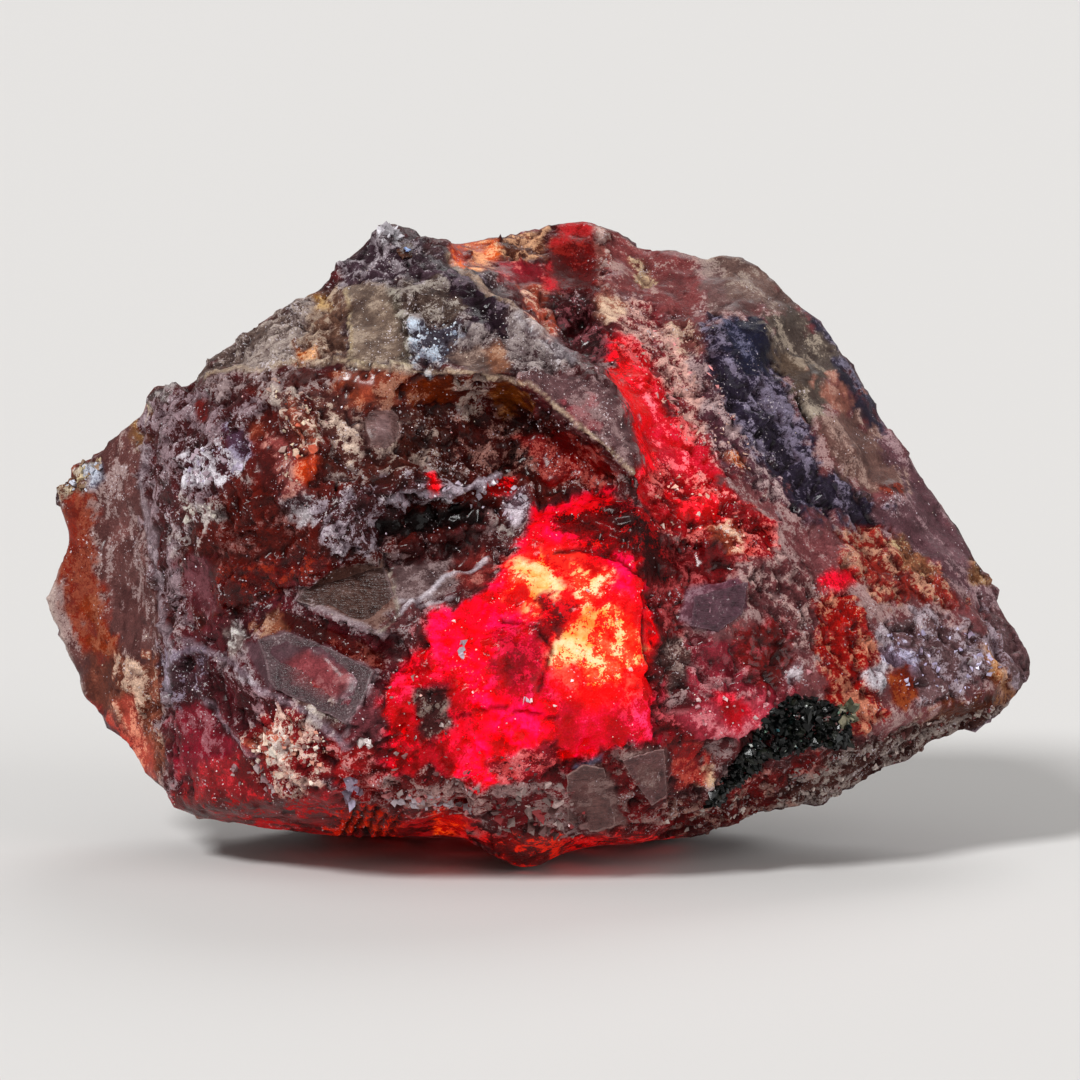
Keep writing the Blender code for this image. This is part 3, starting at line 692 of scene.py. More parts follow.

# The lit core: painted glow where light shines through the stone from behind, brightest in its hot
# places
CORE = [
    Patch("red_margin", [(384, 690), (378, 760), (400, 806), (470, 812), (560, 800), (650, 760),
        (700, 745), (660, 700), (652, 600), (430, 610)], (120, 4, 16), (186, 76, 84), 0.26, 0.5,
        glow=0.15),
    lit("lit_core", [(520, 540), (536, 508), (562, 496), (602, 490), (640, 500), (652, 524),
        (646, 560), (656, 640), (652, 690), (652, 738), (622, 748), (575, 758), (540, 772),
        (500, 790), (450, 798), (404, 780), (386, 740), (384, 700), (398, 672), (426, 642),
        (432, 612), (470, 600), (500, 572)], (236, 0, 56), (255, 22, 96), 0.5, 1.0, spot_mm=1.6,
        kind=Break.STEPPED, soft_px=5.0, ragged_px=9.0),
    lit("core_top", [(545, 512), (602, 494), (640, 504), (650, 530), (644, 560), (600, 548),
        (560, 535)], (130, 0, 10), (230, 6, 30), 0.5, 0.75, kind=Break.STEPPED, soft_px=14.0,
        grain=Grain.LEVEL),
    lit("core_dark_right", [(610, 500), (650, 506), (662, 540), (668, 580), (646, 578), (632, 540)],
        (60, 2, 4), (150, 10, 16), 0.3, 0.35, soft_px=14.0),
    lit("core_left", [(384, 690), (430, 650), (470, 690), (470, 770), (420, 796), (388, 770)],
        (214, 2, 48), (250, 38, 84), 0.35, 0.8, spot_mm=0.6, kind=Break.BROKEN, soft_px=18.0),
    lit("core_pink_low", [(560, 700), (650, 690), (652, 738), (600, 748), (560, 740)], (222, 6, 60),
        (246, 62, 112), 0.35, 0.7, soft_px=20.0),
    lit("halo_upper", [(498, 600), (505, 562), (540, 538), (590, 552), (612, 580), (600, 612),
        (560, 640), (530, 612)], (240, 6, 30), (255, 90, 70), 0.45, 1.0, spot_mm=0.7, soft_px=20.0),
    lit("halo_lower", [(524, 660), (560, 610), (600, 592), (640, 600), (648, 660), (630, 704),
        (592, 712), (560, 690)], (244, 8, 34), (255, 86, 70), 0.5, 1.0, spot_mm=0.7, soft_px=20.0,
        grain=Grain.UPRIGHT),
    lit("hot_upper", [(504, 592), (518, 566), (540, 548), (552, 572), (556, 600), (536, 608),
        (520, 590)], (255, 104, 70), (255, 226, 178), 0.55, 1.0, spot_mm=0.4, soft_px=8.0,
        ragged_px=18.0, kind=Break.STEPPED, grain=Grain.STEEP),
    lit("hot_ridge", [(574, 566), (604, 570), (610, 582), (596, 600), (584, 618), (576, 596)],
        (255, 110, 80), (255, 228, 184), 0.5, 1.0, spot_mm=0.4, soft_px=8.0, ragged_px=14.0),
    lit("hot_lower", [(536, 656), (552, 640), (574, 616), (602, 606), (634, 614), (642, 650),
        (624, 680), (592, 690), (575, 668), (552, 672)], (255, 104, 70), (255, 222, 172), 0.55, 1.0,
        spot_mm=0.45, grain=Grain.UPRIGHT, soft_px=8.0, ragged_px=20.0, kind=Break.STEPPED),
    lit("core_shadow", [(500, 628), (540, 626), (552, 650), (548, 690), (512, 702), (488, 672)],
        (190, 0, 46), (230, 36, 84), 0.3, 0.8, spot_mm=0.5, soft_px=16.0),
    lit("core_gap", [(538, 600), (574, 606), (560, 632), (548, 652), (530, 640), (548, 622)],
        (140, 0, 12), (220, 10, 30), 0.4, 0.6, soft_px=6.0),
    Patch("grey_bits", [(414, 690), (446, 688), (452, 722), (430, 742), (414, 730)], (70, 30, 30),
        (136, 116, 108), 0.42, 0.4, ragged_px=10.0),
    lit("pink_steps", [(488, 762), (556, 742), (564, 768), (500, 788)], (170, 28, 48),
        (236, 128, 130), 0.45, 0.35, spot_mm=0.5, grain=Grain.LEVEL, kind=Break.STEPPED, dust=0.3),
    Patch("grey_steps", [(486, 792), (560, 772), (570, 800), (560, 838), (500, 836), (484, 812)],
        (112, 24, 30), (168, 134, 132), 0.34, 0.5, Grain.LEVEL, dust=0.4, kind=Break.STEPPED,
        glow=0.06),
    Patch("crumbs_left_low", [(384, 780), (430, 768), (484, 792), (486, 812), (440, 812),
        (384, 806)], (130, 16, 18), (186, 150, 146), 0.42, 0.35, dust=0.4, glow=0.12),
    Patch("below_core", [(600, 752), (625, 748), (656, 800), (670, 836), (624, 836), (608, 790)],
        (112, 22, 26), (152, 112, 108), 0.34, 0.4, dust=0.35),
    plate("fan_plate", [(576, 768), (600, 758), (612, 780), (626, 826), (596, 838), (570, 800)],
        (100, 70, 68), (134, 106, 102), 0.3, spot_mm=0.5, grain=Grain.STEEP),
    plate("small_plate", [(618, 756), (668, 745), (668, 790), (652, 800), (630, 775)],
        (104, 76, 74), (138, 112, 108), 0.3, spot_mm=0.5, grain=Grain.RISING),
    worn("red_gap", [(668, 745), (702, 742), (702, 784), (674, 790)], (128, 18, 20), (176, 70, 58),
        0.25, 0.5, glow=0.06, clear=0.3),
    lit("red_lip", [(440, 822), (500, 836), (570, 838), (640, 832), (690, 836), (640, 852),
        (560, 860), (500, 850)], (150, 6, 10), (232, 40, 40), 0.35, 0.4, spot_mm=0.6,
        ragged_px=6.0),
    lit("knob", [(496, 842), (530, 832), (562, 838), (570, 862), (530, 876), (505, 868)],
        (150, 12, 6), (240, 70, 40), 0.35, 0.5, spot_mm=0.5, clear=0.4),
]

LOW_LEFT = [
    Patch("lower_left_face", [(160, 640), (240, 612), (330, 575), (400, 560), (430, 610),
        (400, 680), (390, 800), (170, 800), (162, 720)], (86, 32, 38), (152, 128, 132), 0.3, 0.6,
        dust=0.35),
    plate("upper_plate", [(298, 594), (330, 571), (382, 560), (398, 602), (382, 634), (340, 620)],
        (84, 58, 52), (112, 84, 76), 0.35, spot_mm=0.9, dust=0.3),
    plate("grey_plate", [(390, 565), (452, 556), (464, 582), (430, 600), (398, 608)], (88, 70, 70),
        (126, 106, 106), 0.4),
    Patch("grey_right_of_plate", [(384, 622), (400, 608), (450, 596), (450, 612), (420, 640),
        (392, 660)], (92, 52, 54), (156, 138, 140), 0.4, 0.4, dust=0.4),
    Patch("pink_chip", [(450, 560), (486, 550), (492, 585), (462, 590)], (112, 44, 42),
        (160, 92, 84), 0.3, 0.5),
    # Dark as a painted shadow in the crevice between the upper and lower plates
    worn("crevice", [(276, 612), (300, 615), (388, 655), (388, 674), (340, 654), (284, 632)],
        (60, 10, 8), (112, 50, 42), 0.2, 0.5, ragged_px=5.0),
    worn("tan_over_plate", [(246, 622), (278, 612), (292, 632), (262, 640)], (112, 66, 50),
        (160, 118, 96), 0.35, 0.5),
    plate("lower_plate", [(243, 642), (285, 631), (377, 670), (350, 712), (268, 690)], (92, 66, 72),
        (124, 98, 104), 0.35, dust=0.3),
    plate("plate_core", [(284, 664), (306, 650), (346, 668), (350, 690), (330, 700)], (122, 60, 64),
        (142, 84, 86), 0.35, soft_px=8.0),
    worn("plate_slit", [(284, 668), (300, 676), (330, 694), (318, 697), (294, 684)], (92, 10, 12),
        (126, 40, 40), 0.2, ragged_px=2.0, soft_px=3.0),
    crumbs("cream_foot", [(290, 700), (330, 698), (352, 712), (336, 734), (304, 722)],
        (108, 82, 78), (176, 160, 152), 0.42),
    crumbs("white_left", [(224, 632), (236, 624), (248, 636), (244, 650), (228, 654)],
        (150, 136, 132), (214, 208, 202), 0.65, ragged_px=7.0),
    crumbs("white_left_low", [(236, 668), (250, 668), (258, 682), (244, 684)], (140, 120, 122),
        (204, 192, 198), 0.6, ragged_px=6.0),
    Patch("dark_by_line", [(228, 680), (262, 690), (300, 712), (310, 736), (270, 728), (236, 716)],
        (72, 10, 18), (160, 120, 126), 0.26, 0.4),
    worn("purple_facet", [(176, 706), (200, 696), (240, 742), (240, 780), (200, 796), (172, 770)],
        (112, 26, 38), (142, 82, 90), 0.2, 0.5),
    Patch("left_bump", [(160, 650), (200, 648), (204, 696), (184, 704), (164, 700)], (70, 44, 50),
        (146, 130, 148), 0.42, 0.5, dust=0.45),
    worn("red_facets", [(184, 774), (240, 752), (280, 780), (340, 784), (350, 810), (190, 812)],
        (136, 8, 20), (184, 44, 52), 0.28, 0.7, glow=0.18, clear=0.3),
    crumbs("tan_crust", [(243, 728), (290, 712), (330, 738), (334, 776), (290, 800), (250, 772)],
        (138, 44, 46), (222, 182, 168), 0.4, ragged_px=18.0),
    crumbs("tan_heart", [(252, 740), (276, 726), (292, 742), (284, 762), (262, 756)],
        (204, 120, 98), (238, 216, 204), 0.55, ragged_px=10.0),
    Patch("red_between", [(326, 734), (376, 736), (398, 770), (386, 802), (350, 800), (330, 780)],
        (160, 10, 18), (206, 132, 130), 0.3, 0.45, glow=0.25),
    Patch("mauve_low_plates", [(346, 700), (378, 690), (392, 720), (380, 752), (352, 740)],
        (110, 56, 62), (168, 132, 138), 0.36, 0.5, Grain.UPRIGHT),
    worn("red_strip", [(168, 796), (250, 800), (345, 808), (476, 804), (470, 846), (330, 846),
        (200, 832), (168, 820)], (122, 4, 10), (182, 28, 32), 0.3, 0.7, glow=0.36, clear=0.4),
    lit("orange_end", [(432, 804), (462, 802), (464, 830), (436, 832)], (200, 24, 6), (255, 96, 24),
        0.4, 0.6, spot_mm=0.4, ragged_px=6.0),
    Patch("slash_ground", [(330, 812), (400, 806), (400, 842), (330, 842)], (150, 8, 6),
        (226, 60, 26), 0.35, 0.4, Grain.STEEP, glow=0.4, clear=0.4),
]

WING = [
    worn("wing", [(40, 460), (140, 408), (160, 420), (152, 560), (160, 660), (166, 796), (130, 760),
        (70, 700), (38, 600)], (92, 58, 56), (152, 126, 122), 0.36, 0.7, Grain.UPRIGHT, dust=0.3),
    worn("wing_fibres", [(98, 470), (150, 440), (156, 560), (164, 640), (120, 644), (106, 560)],
        (96, 62, 60), (150, 126, 124), 0.36, 0.45, Grain.UPRIGHT, dust=0.3),
    worn("wing_lower", [(84, 640), (120, 650), (132, 740), (110, 726), (84, 690)], (96, 52, 42),
        (136, 92, 76), 0.3, 0.6, Grain.STEEP),
    crumbs("wing_cream_rim", [(42, 500), (50, 476), (78, 452), (100, 458), (88, 480), (58, 500)],
        (120, 88, 74), (198, 180, 158), 0.48),
    crumbs("wing_blue_spot", [(84, 464), (100, 462), (103, 480), (90, 488)], (140, 144, 162),
        (206, 212, 228), 0.5, ragged_px=5.0),
    worn("wing_window", [(54, 516), (72, 500), (94, 500), (98, 560), (114, 640), (104, 672),
        (82, 644), (64, 604), (56, 560)], (112, 34, 18), (132, 62, 44), 0.2, 0.7, Grain.UPRIGHT,
        glow=0.05, clear=0.4),
    worn("wing_dark_orange", [(80, 600), (100, 598), (114, 652), (95, 658)], (106, 40, 22),
        (138, 74, 52), 0.28, 0.6, Grain.UPRIGHT),
    crumbs("wing_tan", [(110, 660), (160, 656), (168, 772), (140, 772), (124, 720)], (144, 86, 70),
        (208, 172, 150), 0.48, grain=Grain.UPRIGHT),
    worn("wing_orange_edge", [(120, 700), (134, 695), (158, 782), (140, 782), (128, 750)],
        (176, 72, 56), (222, 142, 116), 0.42, 0.5, Grain.UPRIGHT, glow=0.1, ragged_px=6.0),
    worn("wing_red_rim", [(80, 690), (110, 716), (136, 738), (132, 758), (100, 742), (76, 712)],
        (120, 18, 20), (184, 70, 58), 0.35, 0.5, glow=0.12, ragged_px=5.0),
    crumbs("wing_top_lumps", [(140, 392), (160, 384), (182, 384), (178, 400), (152, 420),
        (142, 410)], (96, 84, 82), (160, 152, 150), 0.5, ragged_px=7.0),
    crumbs("wing_cream_band", [(132, 410), (146, 404), (158, 414), (150, 440), (136, 446)],
        (134, 96, 66), (210, 180, 136), 0.5, ragged_px=6.0),
]

GROUND = [
    Patch("ground", [(0, 180), (1080, 180), (1080, 900), (0, 900)], (84, 36, 38), (146, 118, 118),
        0.36, 0.6),
]

PATCHES = GROUND + WING + FACE + LOW_LEFT + RIGHT + TOP + CORE

STROKES = [
    Stroke("crest_edge", [(205, 376), (262, 367), (330, 362), (400, 371), (470, 373), (530, 384),
        (585, 430), (632, 470)], 3.4, 0.06, (196, 172, 146), 0.55, 0.5),
    Stroke("facet_left_edge", [(346, 286), (350, 320), (352, 360)], 3.5, 0.06, (186, 164, 130),
        0.6),
    Stroke("facet_foot_edge", [(352, 360), (380, 366), (411, 367)], 3.5, 0.06, (190, 170, 140),
        0.6),
    Stroke("shoulder_edge", [(446, 257), (508, 306), (545, 337)], 5.0, 0.08, (206, 172, 146), 0.5,
        0.3),
    Stroke("shoulder_frost", [(520, 318), (545, 337), (570, 358)], 12.0, 0.06, (176, 168, 174), 0.5,
        0.6),
    Stroke("wing_seam", [(147, 416), (141, 470), (151, 540), (160, 600), (172, 650), (166, 700)],
        7.0, 0.08, (166, 150, 158), 0.55, 0.4),
    Stroke("wing_pale_rim", [(60, 548), (50, 580), (50, 612), (62, 648), (80, 695)], 10.0, 0.05,
        (190, 172, 164), 0.6, 0.3),
    Stroke("left_pale_line", [(186, 640), (240, 668), (262, 690), (318, 720), (350, 746)], 6.0,
        0.06, (158, 140, 152), 0.55, 0.4),
    Stroke("facet_pale_line", [(204, 700), (240, 742), (262, 764)], 5.0, 0.05, (158, 138, 150), 0.5,
        0.4),
    Stroke("left_hook", [(168, 690), (166, 664), (184, 650), (204, 650)], 6.0, 0.05,
        (160, 146, 166), 0.55, 0.5),
    Stroke("plate_streak", [(398, 612), (430, 592), (444, 576), (470, 570), (486, 560)], 4.0, 0.06,
        (196, 186, 194), 0.75, 0.4),
    Stroke("plate_streak_low", [(400, 600), (420, 606), (452, 596)], 3.5, 0.05, (180, 168, 174),
        0.7, 0.3),
    Stroke("plate_crack", [(388, 568), (394, 590), (397, 610), (384, 630), (374, 636)], 3.0, -0.06,
        (176, 164, 150), 0.7),
    Stroke("plate_bevel", [(300, 598), (340, 618), (376, 634), (392, 640)], 8.0, 0.03,
        (168, 152, 158), 0.6, 0.3),
    Stroke("lower_plate_rim", [(377, 672), (366, 694), (352, 714), (346, 734)], 4.0, 0.04,
        (160, 138, 144), 0.6, 0.2),
    Stroke("ledge_frost", [(385, 502), (410, 494), (446, 493), (478, 486), (500, 474)], 5.0, 0.1,
        (190, 178, 190), 0.7, 0.6),
    Stroke("core_crack_high", [(556, 552), (580, 548), (612, 556), (640, 574)], 4.0, -0.22,
        (150, 0, 10), 0.75, glow=0.4),
    Stroke("core_crack_low", [(500, 618), (536, 626), (552, 650), (540, 690)], 4.0, -0.22,
        (110, 0, 14), 0.6, glow=0.3),
    Stroke("core_crack_right", [(632, 540), (648, 590), (644, 640), (656, 690)], 4.0, -0.2,
        (140, 0, 12), 0.6, glow=0.4),
    Stroke("core_step", [(440, 720), (500, 706), (560, 720)], 3.0, -0.15, (150, 0, 24), 0.5,
        glow=0.4),
    Stroke("slash_a", [(344, 836), (350, 822), (356, 808)], 6.0, -0.2, (10, 2, 2), 0.95),
    Stroke("slash_b", [(354, 838), (360, 824), (366, 808)], 4.5, -0.2, (10, 2, 2), 0.95),
    Stroke("slash_c", [(364, 838), (370, 824), (376, 810)], 5.0, -0.2, (10, 2, 2), 0.9),
    Stroke("slash_d", [(375, 838), (380, 826), (386, 814)], 4.5, -0.2, (20, 2, 2), 0.8),
    Stroke("slash_e", [(388, 838), (394, 824), (402, 812)], 4.0, -0.15, (40, 2, 2), 0.7),
    Stroke("right_black_slot", [(799, 396), (804, 410), (812, 424)], 6.0, -0.35, (14, 12, 10), 0.9),
    Stroke("fan_edge", [(576, 768), (588, 764), (600, 758)], 5.0, 0.05, (96, 112, 140), 0.6),
    Stroke("druse_line_low", [(664, 712), (700, 714), (738, 740)], 3.0, 0.04, (176, 120, 122), 0.4),
    Stroke("pink_plate_foot", [(668, 746), (700, 742), (738, 742)], 3.0, -0.08, (70, 8, 12), 0.7),
]

# Colour pairs of the sides and the back, which the drawing does not show, each near the next
SIDE_PALETTE = [
    ((112, 44, 30), (160, 104, 82)), ((78, 12, 14), (132, 62, 62)), ((44, 15, 19), (108, 72, 80)),
    ((62, 22, 26), (130, 96, 100)), ((74, 38, 42), (142, 112, 116)),
    ((58, 42, 52), (122, 108, 122)), ((96, 72, 66), (160, 138, 126)),
]

# What the surface holds besides its colours, and what it is where nothing is painted
CHANNELS = {"level": 0.0, "dust": 0.3, "rough": 0.45, "clear": 0.1, "glow": 0.0, "raised": 0.0}


@dataclass
class Facets:
    """The stone's broken faces: random cells of four sizes, and noise for what runs over them.

    Attributes:
        large: faces of 1.5 mm.
        small: faces of 0.7 mm.
        crumbs: faces of 0.42 mm.
        blocks: blocks of 3.4 mm, for the sides and the back.
        wander: noise from -1 to 1.
    """

    large: Honeycomb
    small: Honeycomb
    crumbs: Honeycomb
    blocks: Honeycomb
    wander: np.ndarray

    @classmethod
    def of(cls, points_mm: np.ndarray) -> "Facets":
        """Finds the cells of each point."""
        bend = [rough_noise(points_mm, 2.0, 71 + axis, 2) - 0.5 for axis in range(3)]
        bent = points_mm + 0.9 * np.stack(bend, axis=1)
        wander = 2.0 * rough_noise(points_mm, 0.9, 51) - 1.0
        return cls(Honeycomb.around(bent, 1.5, 61), Honeycomb.around(bent, 0.7, 62),
                   Honeycomb.around(points_mm, 0.42, 63), Honeycomb.around(bent, 3.4, 66), wander)

    @property
    def tone(self) -> np.ndarray:
        """How light each face is, about 1: its cells' random numbers, and noise."""
        return 0.5 + 0.45 * self.large.pick + 0.4 * self.small.pick + 0.15 * self.crumbs.pick

    @property
    def edge_wander(self) -> np.ndarray:
        """From -1 to 1, how far a border moves: noise and whole cells that fall either way."""
        return 0.7 * self.wander + 0.5 * (self.small.pick - 0.5) + 0.5 * (self.crumbs.pick - 0.5)

    def spots(self, points_mm: np.ndarray, where: np.ndarray, patch: Patch,
              upward: np.ndarray) -> np.ndarray:
        """Where a patch's crust lies: even numbers from 0 to 1, the crust where they are high.

        Noise and small cells are added, then 1 / (1 + exp(-v)) of the sum makes all values
        about equally common. The noise is squeezed across the grain.

        Args:
            points_mm: the vertices in millimetres.
            where: the indices of the vertices asked for.
            patch: whose spots.
            upward: the unit vector up the drawing.

        Returns:
            One number for each index.
        """
        fall, length = patch.grain.value
        turn = math.radians(fall)
        along = np.array([math.cos(turn), 0.0, 0.0]) - math.sin(turn) * upward
        points = points_mm[where]
        reach = points @ along
        drawn = points - np.outer(reach * (1.0 - 1.0 / length), along)
        noise = 0.55 * rough_noise(drawn, 2.6 * patch.spot_mm, 31, 2)
        noise += 0.45 * rough_noise(drawn, 0.7 * patch.spot_mm, 37, 3)
        cells = 0.4 * self.small.pick[where] + 0.6 * self.crumbs.pick[where]
        weight = 0.40 if length == 1.0 else 0.10
        value = (1.0 - weight) * (noise - 0.5) / 0.09 + weight * (cells - 0.5) / 0.2
        return 1.0 / (1.0 + np.exp(-1.9 * value / math.hypot(1.0 - weight, weight)))


@dataclass
class Surface:
    """What is known of the stone at each of its vertices.

    Attributes:
        body: linear colour of the stone itself, or of its painted glow where it glows, with painted
            shade in its pits once shaped.
        crust: linear colour of what lies on it, with painted shade in its pits once shaped.
        values: one row for each name of CHANNELS.
        heights: the mm of lumps, chips, grains and steps.
    """

    body: np.ndarray
    crust: np.ndarray
    values: dict[str, np.ndarray]
    heights: np.ndarray

    @classmethod
    def unpainted(cls, points_mm: np.ndarray, facets: Facets) -> "Surface":
        """The sides and back: colour pairs that run into each other, with crust by noise.

        A slow noise picks a place along the palette, and the two pairs beside it are blended.

        Args:
            points_mm: the vertices in millimetres.
            facets: the broken faces.

        Returns:
            A surface of the palette's colours, broken all over.
        """
        palette = np.array([[linear(dark), linear(light)] for dark, light in SIDE_PALETTE])
        drift = 0.75 * rough_noise(points_mm, 7.0, 11, 5) + 0.25 * facets.blocks.pick
        along = np.clip(0.5 + 2.4 * (drift - 0.5), 0.0, 0.999) * (len(SIDE_PALETTE) - 1)
        first = along.astype(int)
        share = (along - first)[:, None, None]
        pairs = palette[first] * (1.0 - share) + palette[first + 1] * share
        count = len(points_mm)
        values = {name: np.full(count, usual) for name, usual in CHANNELS.items()}
        values["level"] = 4.0 * (rough_noise(points_mm, 1.0, 21) - 0.54)
        heights = np.tile(np.array(Break.WORN.value), (count, 1))
        return cls(pairs[:, 0] * facets.tone[:, None], pairs[:, 1], values, heights)

    def lay_patch(self, patch: Patch, where: np.ndarray, cover: np.ndarray, spots: np.ndarray,
                  tone: np.ndarray) -> None:
        """Lays one patch over what is there.

        Args:
            patch: the place's finish.
            where: the indices of the vertices that it may reach.
            cover: how much it covers each of them.
            spots: from 0 to 1, the crust where they are above one less its share.
            tone: how light each face is.
        """
        level = spots - (1.0 - patch.share)
        lying = soft_step(level, -0.1, 0.1)
        rich = vivid(linear(patch.body), 1.15 if patch.glow < 0.1 else 1.0)
        lit_share = min(1.0, 2.0 * patch.glow)
        deep = shaded(rich, tone * (0.75 + 0.5 * spots), lit_share)
        pale = shaded(linear(patch.crust), 0.55 + 0.5 * spots + 0.3 * (tone - 1.0), lit_share)
        self.body[where] = blended(self.body[where], deep, cover)
        self.crust[where] = blended(self.crust[where], pale, cover)
        stand = patch.kind.crust_mm * (lying - patch.share)
        for name, value in (("level", level), ("dust", patch.dust), ("rough", patch.rough),
                            ("clear", patch.clear), ("glow", patch.glow), ("raised", stand)):
            held = self.values[name]
            held[where] += (value - held[where]) * cover
        heights = self.heights[where]
        broken = np.broadcast_to(patch.kind.value, heights.shape)
        self.heights[where] = blended(heights, broken, cover)

    def lay_stroke(self, stroke: Stroke, cover: np.ndarray) -> None:
        """Lays one thin line over what is there and adds its height."""
        share = cover * stroke.share
        tint = np.tile(linear(stroke.colour), (len(cover), 1))
        self.body = blended(self.body, tint, share)
        self.crust = blended(self.crust, tint, share)
        values = self.values
        values["glow"] = blended(values["glow"], np.full(len(cover), stroke.glow), share)
        values["dust"] = np.maximum(values["dust"], share * stroke.dust)
        values["raised"] = values["raised"] + cover * stroke.height_mm


@dataclass
class Net:
    """The vertices of a mesh and which of them are joined by an edge."""

    count: int
    edges: np.ndarray

    def spread(self, values: np.ndarray, rounds: int) -> np.ndarray:
        """Averages each vertex with its neighbours, round after round."""
        first, second = self.edges[:, 0], self.edges[:, 1]
        links = np.bincount(self.edges.ravel(), minlength=self.count)
        for _ in range(rounds):
            total = np.bincount(first, values[second], self.count)
            total += np.bincount(second, values[first], self.count)
            values = 0.5 * values + 0.5 * total / np.maximum(links, 1)
        return values


@dataclass
class Socket:
    """One output of a node, with Python's operators as Math nodes."""

    tree: bpy.types.NodeTree
    out: bpy.types.NodeSocket

    def _math(self, operation: str, *inputs: "Socket | float", clamp: bool = False) -> "Socket":
        """Adds a Math node of the inputs in order."""
        node = self.tree.nodes.new("ShaderNodeMath")
        node.operation = operation
        node.use_clamp = clamp
        for index, value in enumerate(inputs):
            if isinstance(value, Socket):
                self.tree.links.new(value.out, node.inputs[index])
            else:
                node.inputs[index].default_value = value
        return Socket(self.tree, node.outputs[0])

    def __add__(self, other: "Socket | float") -> "Socket":
        """The sum."""
        return self._math("ADD", self, other)

    def __radd__(self, other: float) -> "Socket":
        """The sum, from the right."""
        return self._math("ADD", other, self)

    def __sub__(self, other: "Socket | float") -> "Socket":
        """The difference."""
        return self._math("SUBTRACT", self, other)

    def __rsub__(self, other: float) -> "Socket":
        """The difference from a number."""
        return self._math("SUBTRACT", other, self)

    def __mul__(self, other: "Socket | float") -> "Socket":
        """The product."""
        return self._math("MULTIPLY", self, other)

    def __rmul__(self, other: float) -> "Socket":
        """The product, from the right."""
        return self._math("MULTIPLY", other, self)

    def clamped(self) -> "Socket":
        """The value held between 0 and 1."""
        return self._math("ADD", self, 0.0, clamp=True)

    def held(self, low: float, high: float) -> "Socket":
        """The value held between two numbers."""
        return self._math("MINIMUM", self._math("MAXIMUM", self, low), high)

    def stepped(self, low: float, high: float) -> "Socket":
        """0 below low, 1 above high and a straight rise between."""
        return ((self - low) * (1.0 / (high - low))).clamped()


@dataclass
class Recipe:
    """A material under construction: one Principled surface and what feeds it."""

    name: str
    material: bpy.types.Material = field(init=False)
    surface: bpy.types.Node = field(init=False)

    def __post_init__(self) -> None:
        """Makes the empty material with its Principled surface."""
        self.material = bpy.data.materials.new(self.name)
        self.material.use_nodes = True
        self.surface = self.material.node_tree.nodes["Principled BSDF"]

    def node(self, kind: str, settings: dict | None = None, **inputs: object) -> bpy.types.Node:
        """Adds any node.

        Args:
            kind: the node's type, such as ShaderNodeTexNoise.
            settings: its own properties, set first.
            inputs: values or sockets by input name, with _ for a space.

        Returns:
            The node.
        """
        node = self.material.node_tree.nodes.new(kind)
        for name, value in (settings or {}).items():
            setattr(node, name, value)
        for name, value in inputs.items():
            self.feed(node.inputs[name.replace("_", " ")], value)
        return node

    def feed(self, target: bpy.types.NodeSocket, value: object) -> None:
        """Links a socket, or sets a plain value."""
        if isinstance(value, Socket):
            self.material.node_tree.links.new(value.out, target)
        else:
            target.default_value = value

    def out(self, node: bpy.types.Node, name: str | int = 0) -> Socket:
        """Wraps one of a node's outputs."""
        return Socket(self.material.node_tree, node.outputs[name])

    def place(self) -> Socket:
        """The object coordinates, in metres."""
        return self.out(self.node("ShaderNodeTexCoord"), "Object")

    def attribute(self, name: str, output: str = "Fac") -> Socket:
        """A vertex attribute of the mesh."""
        return self.out(self.node("ShaderNodeAttribute", {"attribute_name": name}), output)

    def noise(self, size_mm: float, detail: float = 3.0, roughness: float = 0.6) -> Socket:
        """Noise whose spots are about the given size."""
        node = self.node("ShaderNodeTexNoise", Vector=self.place(), Scale=1.0 / (size_mm * MM),
                         Detail=detail, Roughness=roughness)
        return self.out(node, "Fac")

    def mixed(self, factor: Socket | float, first: object, second: object,
              blend: str = "MIX") -> Socket:
        """Mixes two colours by a factor."""
        node = self.node("ShaderNodeMix", {"data_type": "RGBA", "blend_type": blend})
        self.feed(node.inputs[0], factor)
        self.feed(node.inputs[6], first)
        self.feed(node.inputs[7], second)
        return self.out(node, 2)

    def grey(self, value: Socket) -> Socket:
        """A grey of the given value."""
        return self.out(self.node("ShaderNodeCombineColor", Red=value, Green=value, Blue=value))

    def warm_shade(self, value: Socket) -> Socket:
        """A grey of the given value, redder the darker it is."""
        return self.out(self.node("ShaderNodeCombineColor", Red=value, Green=value * 1.1 - 0.1,
                                  Blue=value * 1.07 - 0.07))

    def vector(self, operation: str, *inputs: object, output: str = "Vector") -> Socket:
        """A Vector Math node of the inputs in order."""
        node = self.node("ShaderNodeVectorMath", {"operation": operation})
        for index, value in enumerate(inputs):
            self.feed(node.inputs[index], value)
        return self.out(node, output)

    def bumped(self, height: Socket, distance_mm: float, strength: float) -> Socket:
        """A normal from a height."""
        return self.out(self.node("ShaderNodeBump", Height=height, Distance=distance_mm * MM,
                                  Strength=strength))

    def finish(self, **inputs: object) -> bpy.types.Material:
        """Feeds the Principled surface by input name, with _ for a space."""
        for name, value in inputs.items():
            self.feed(self.surface.inputs[name.replace("_", " ")], value)
        return self.material


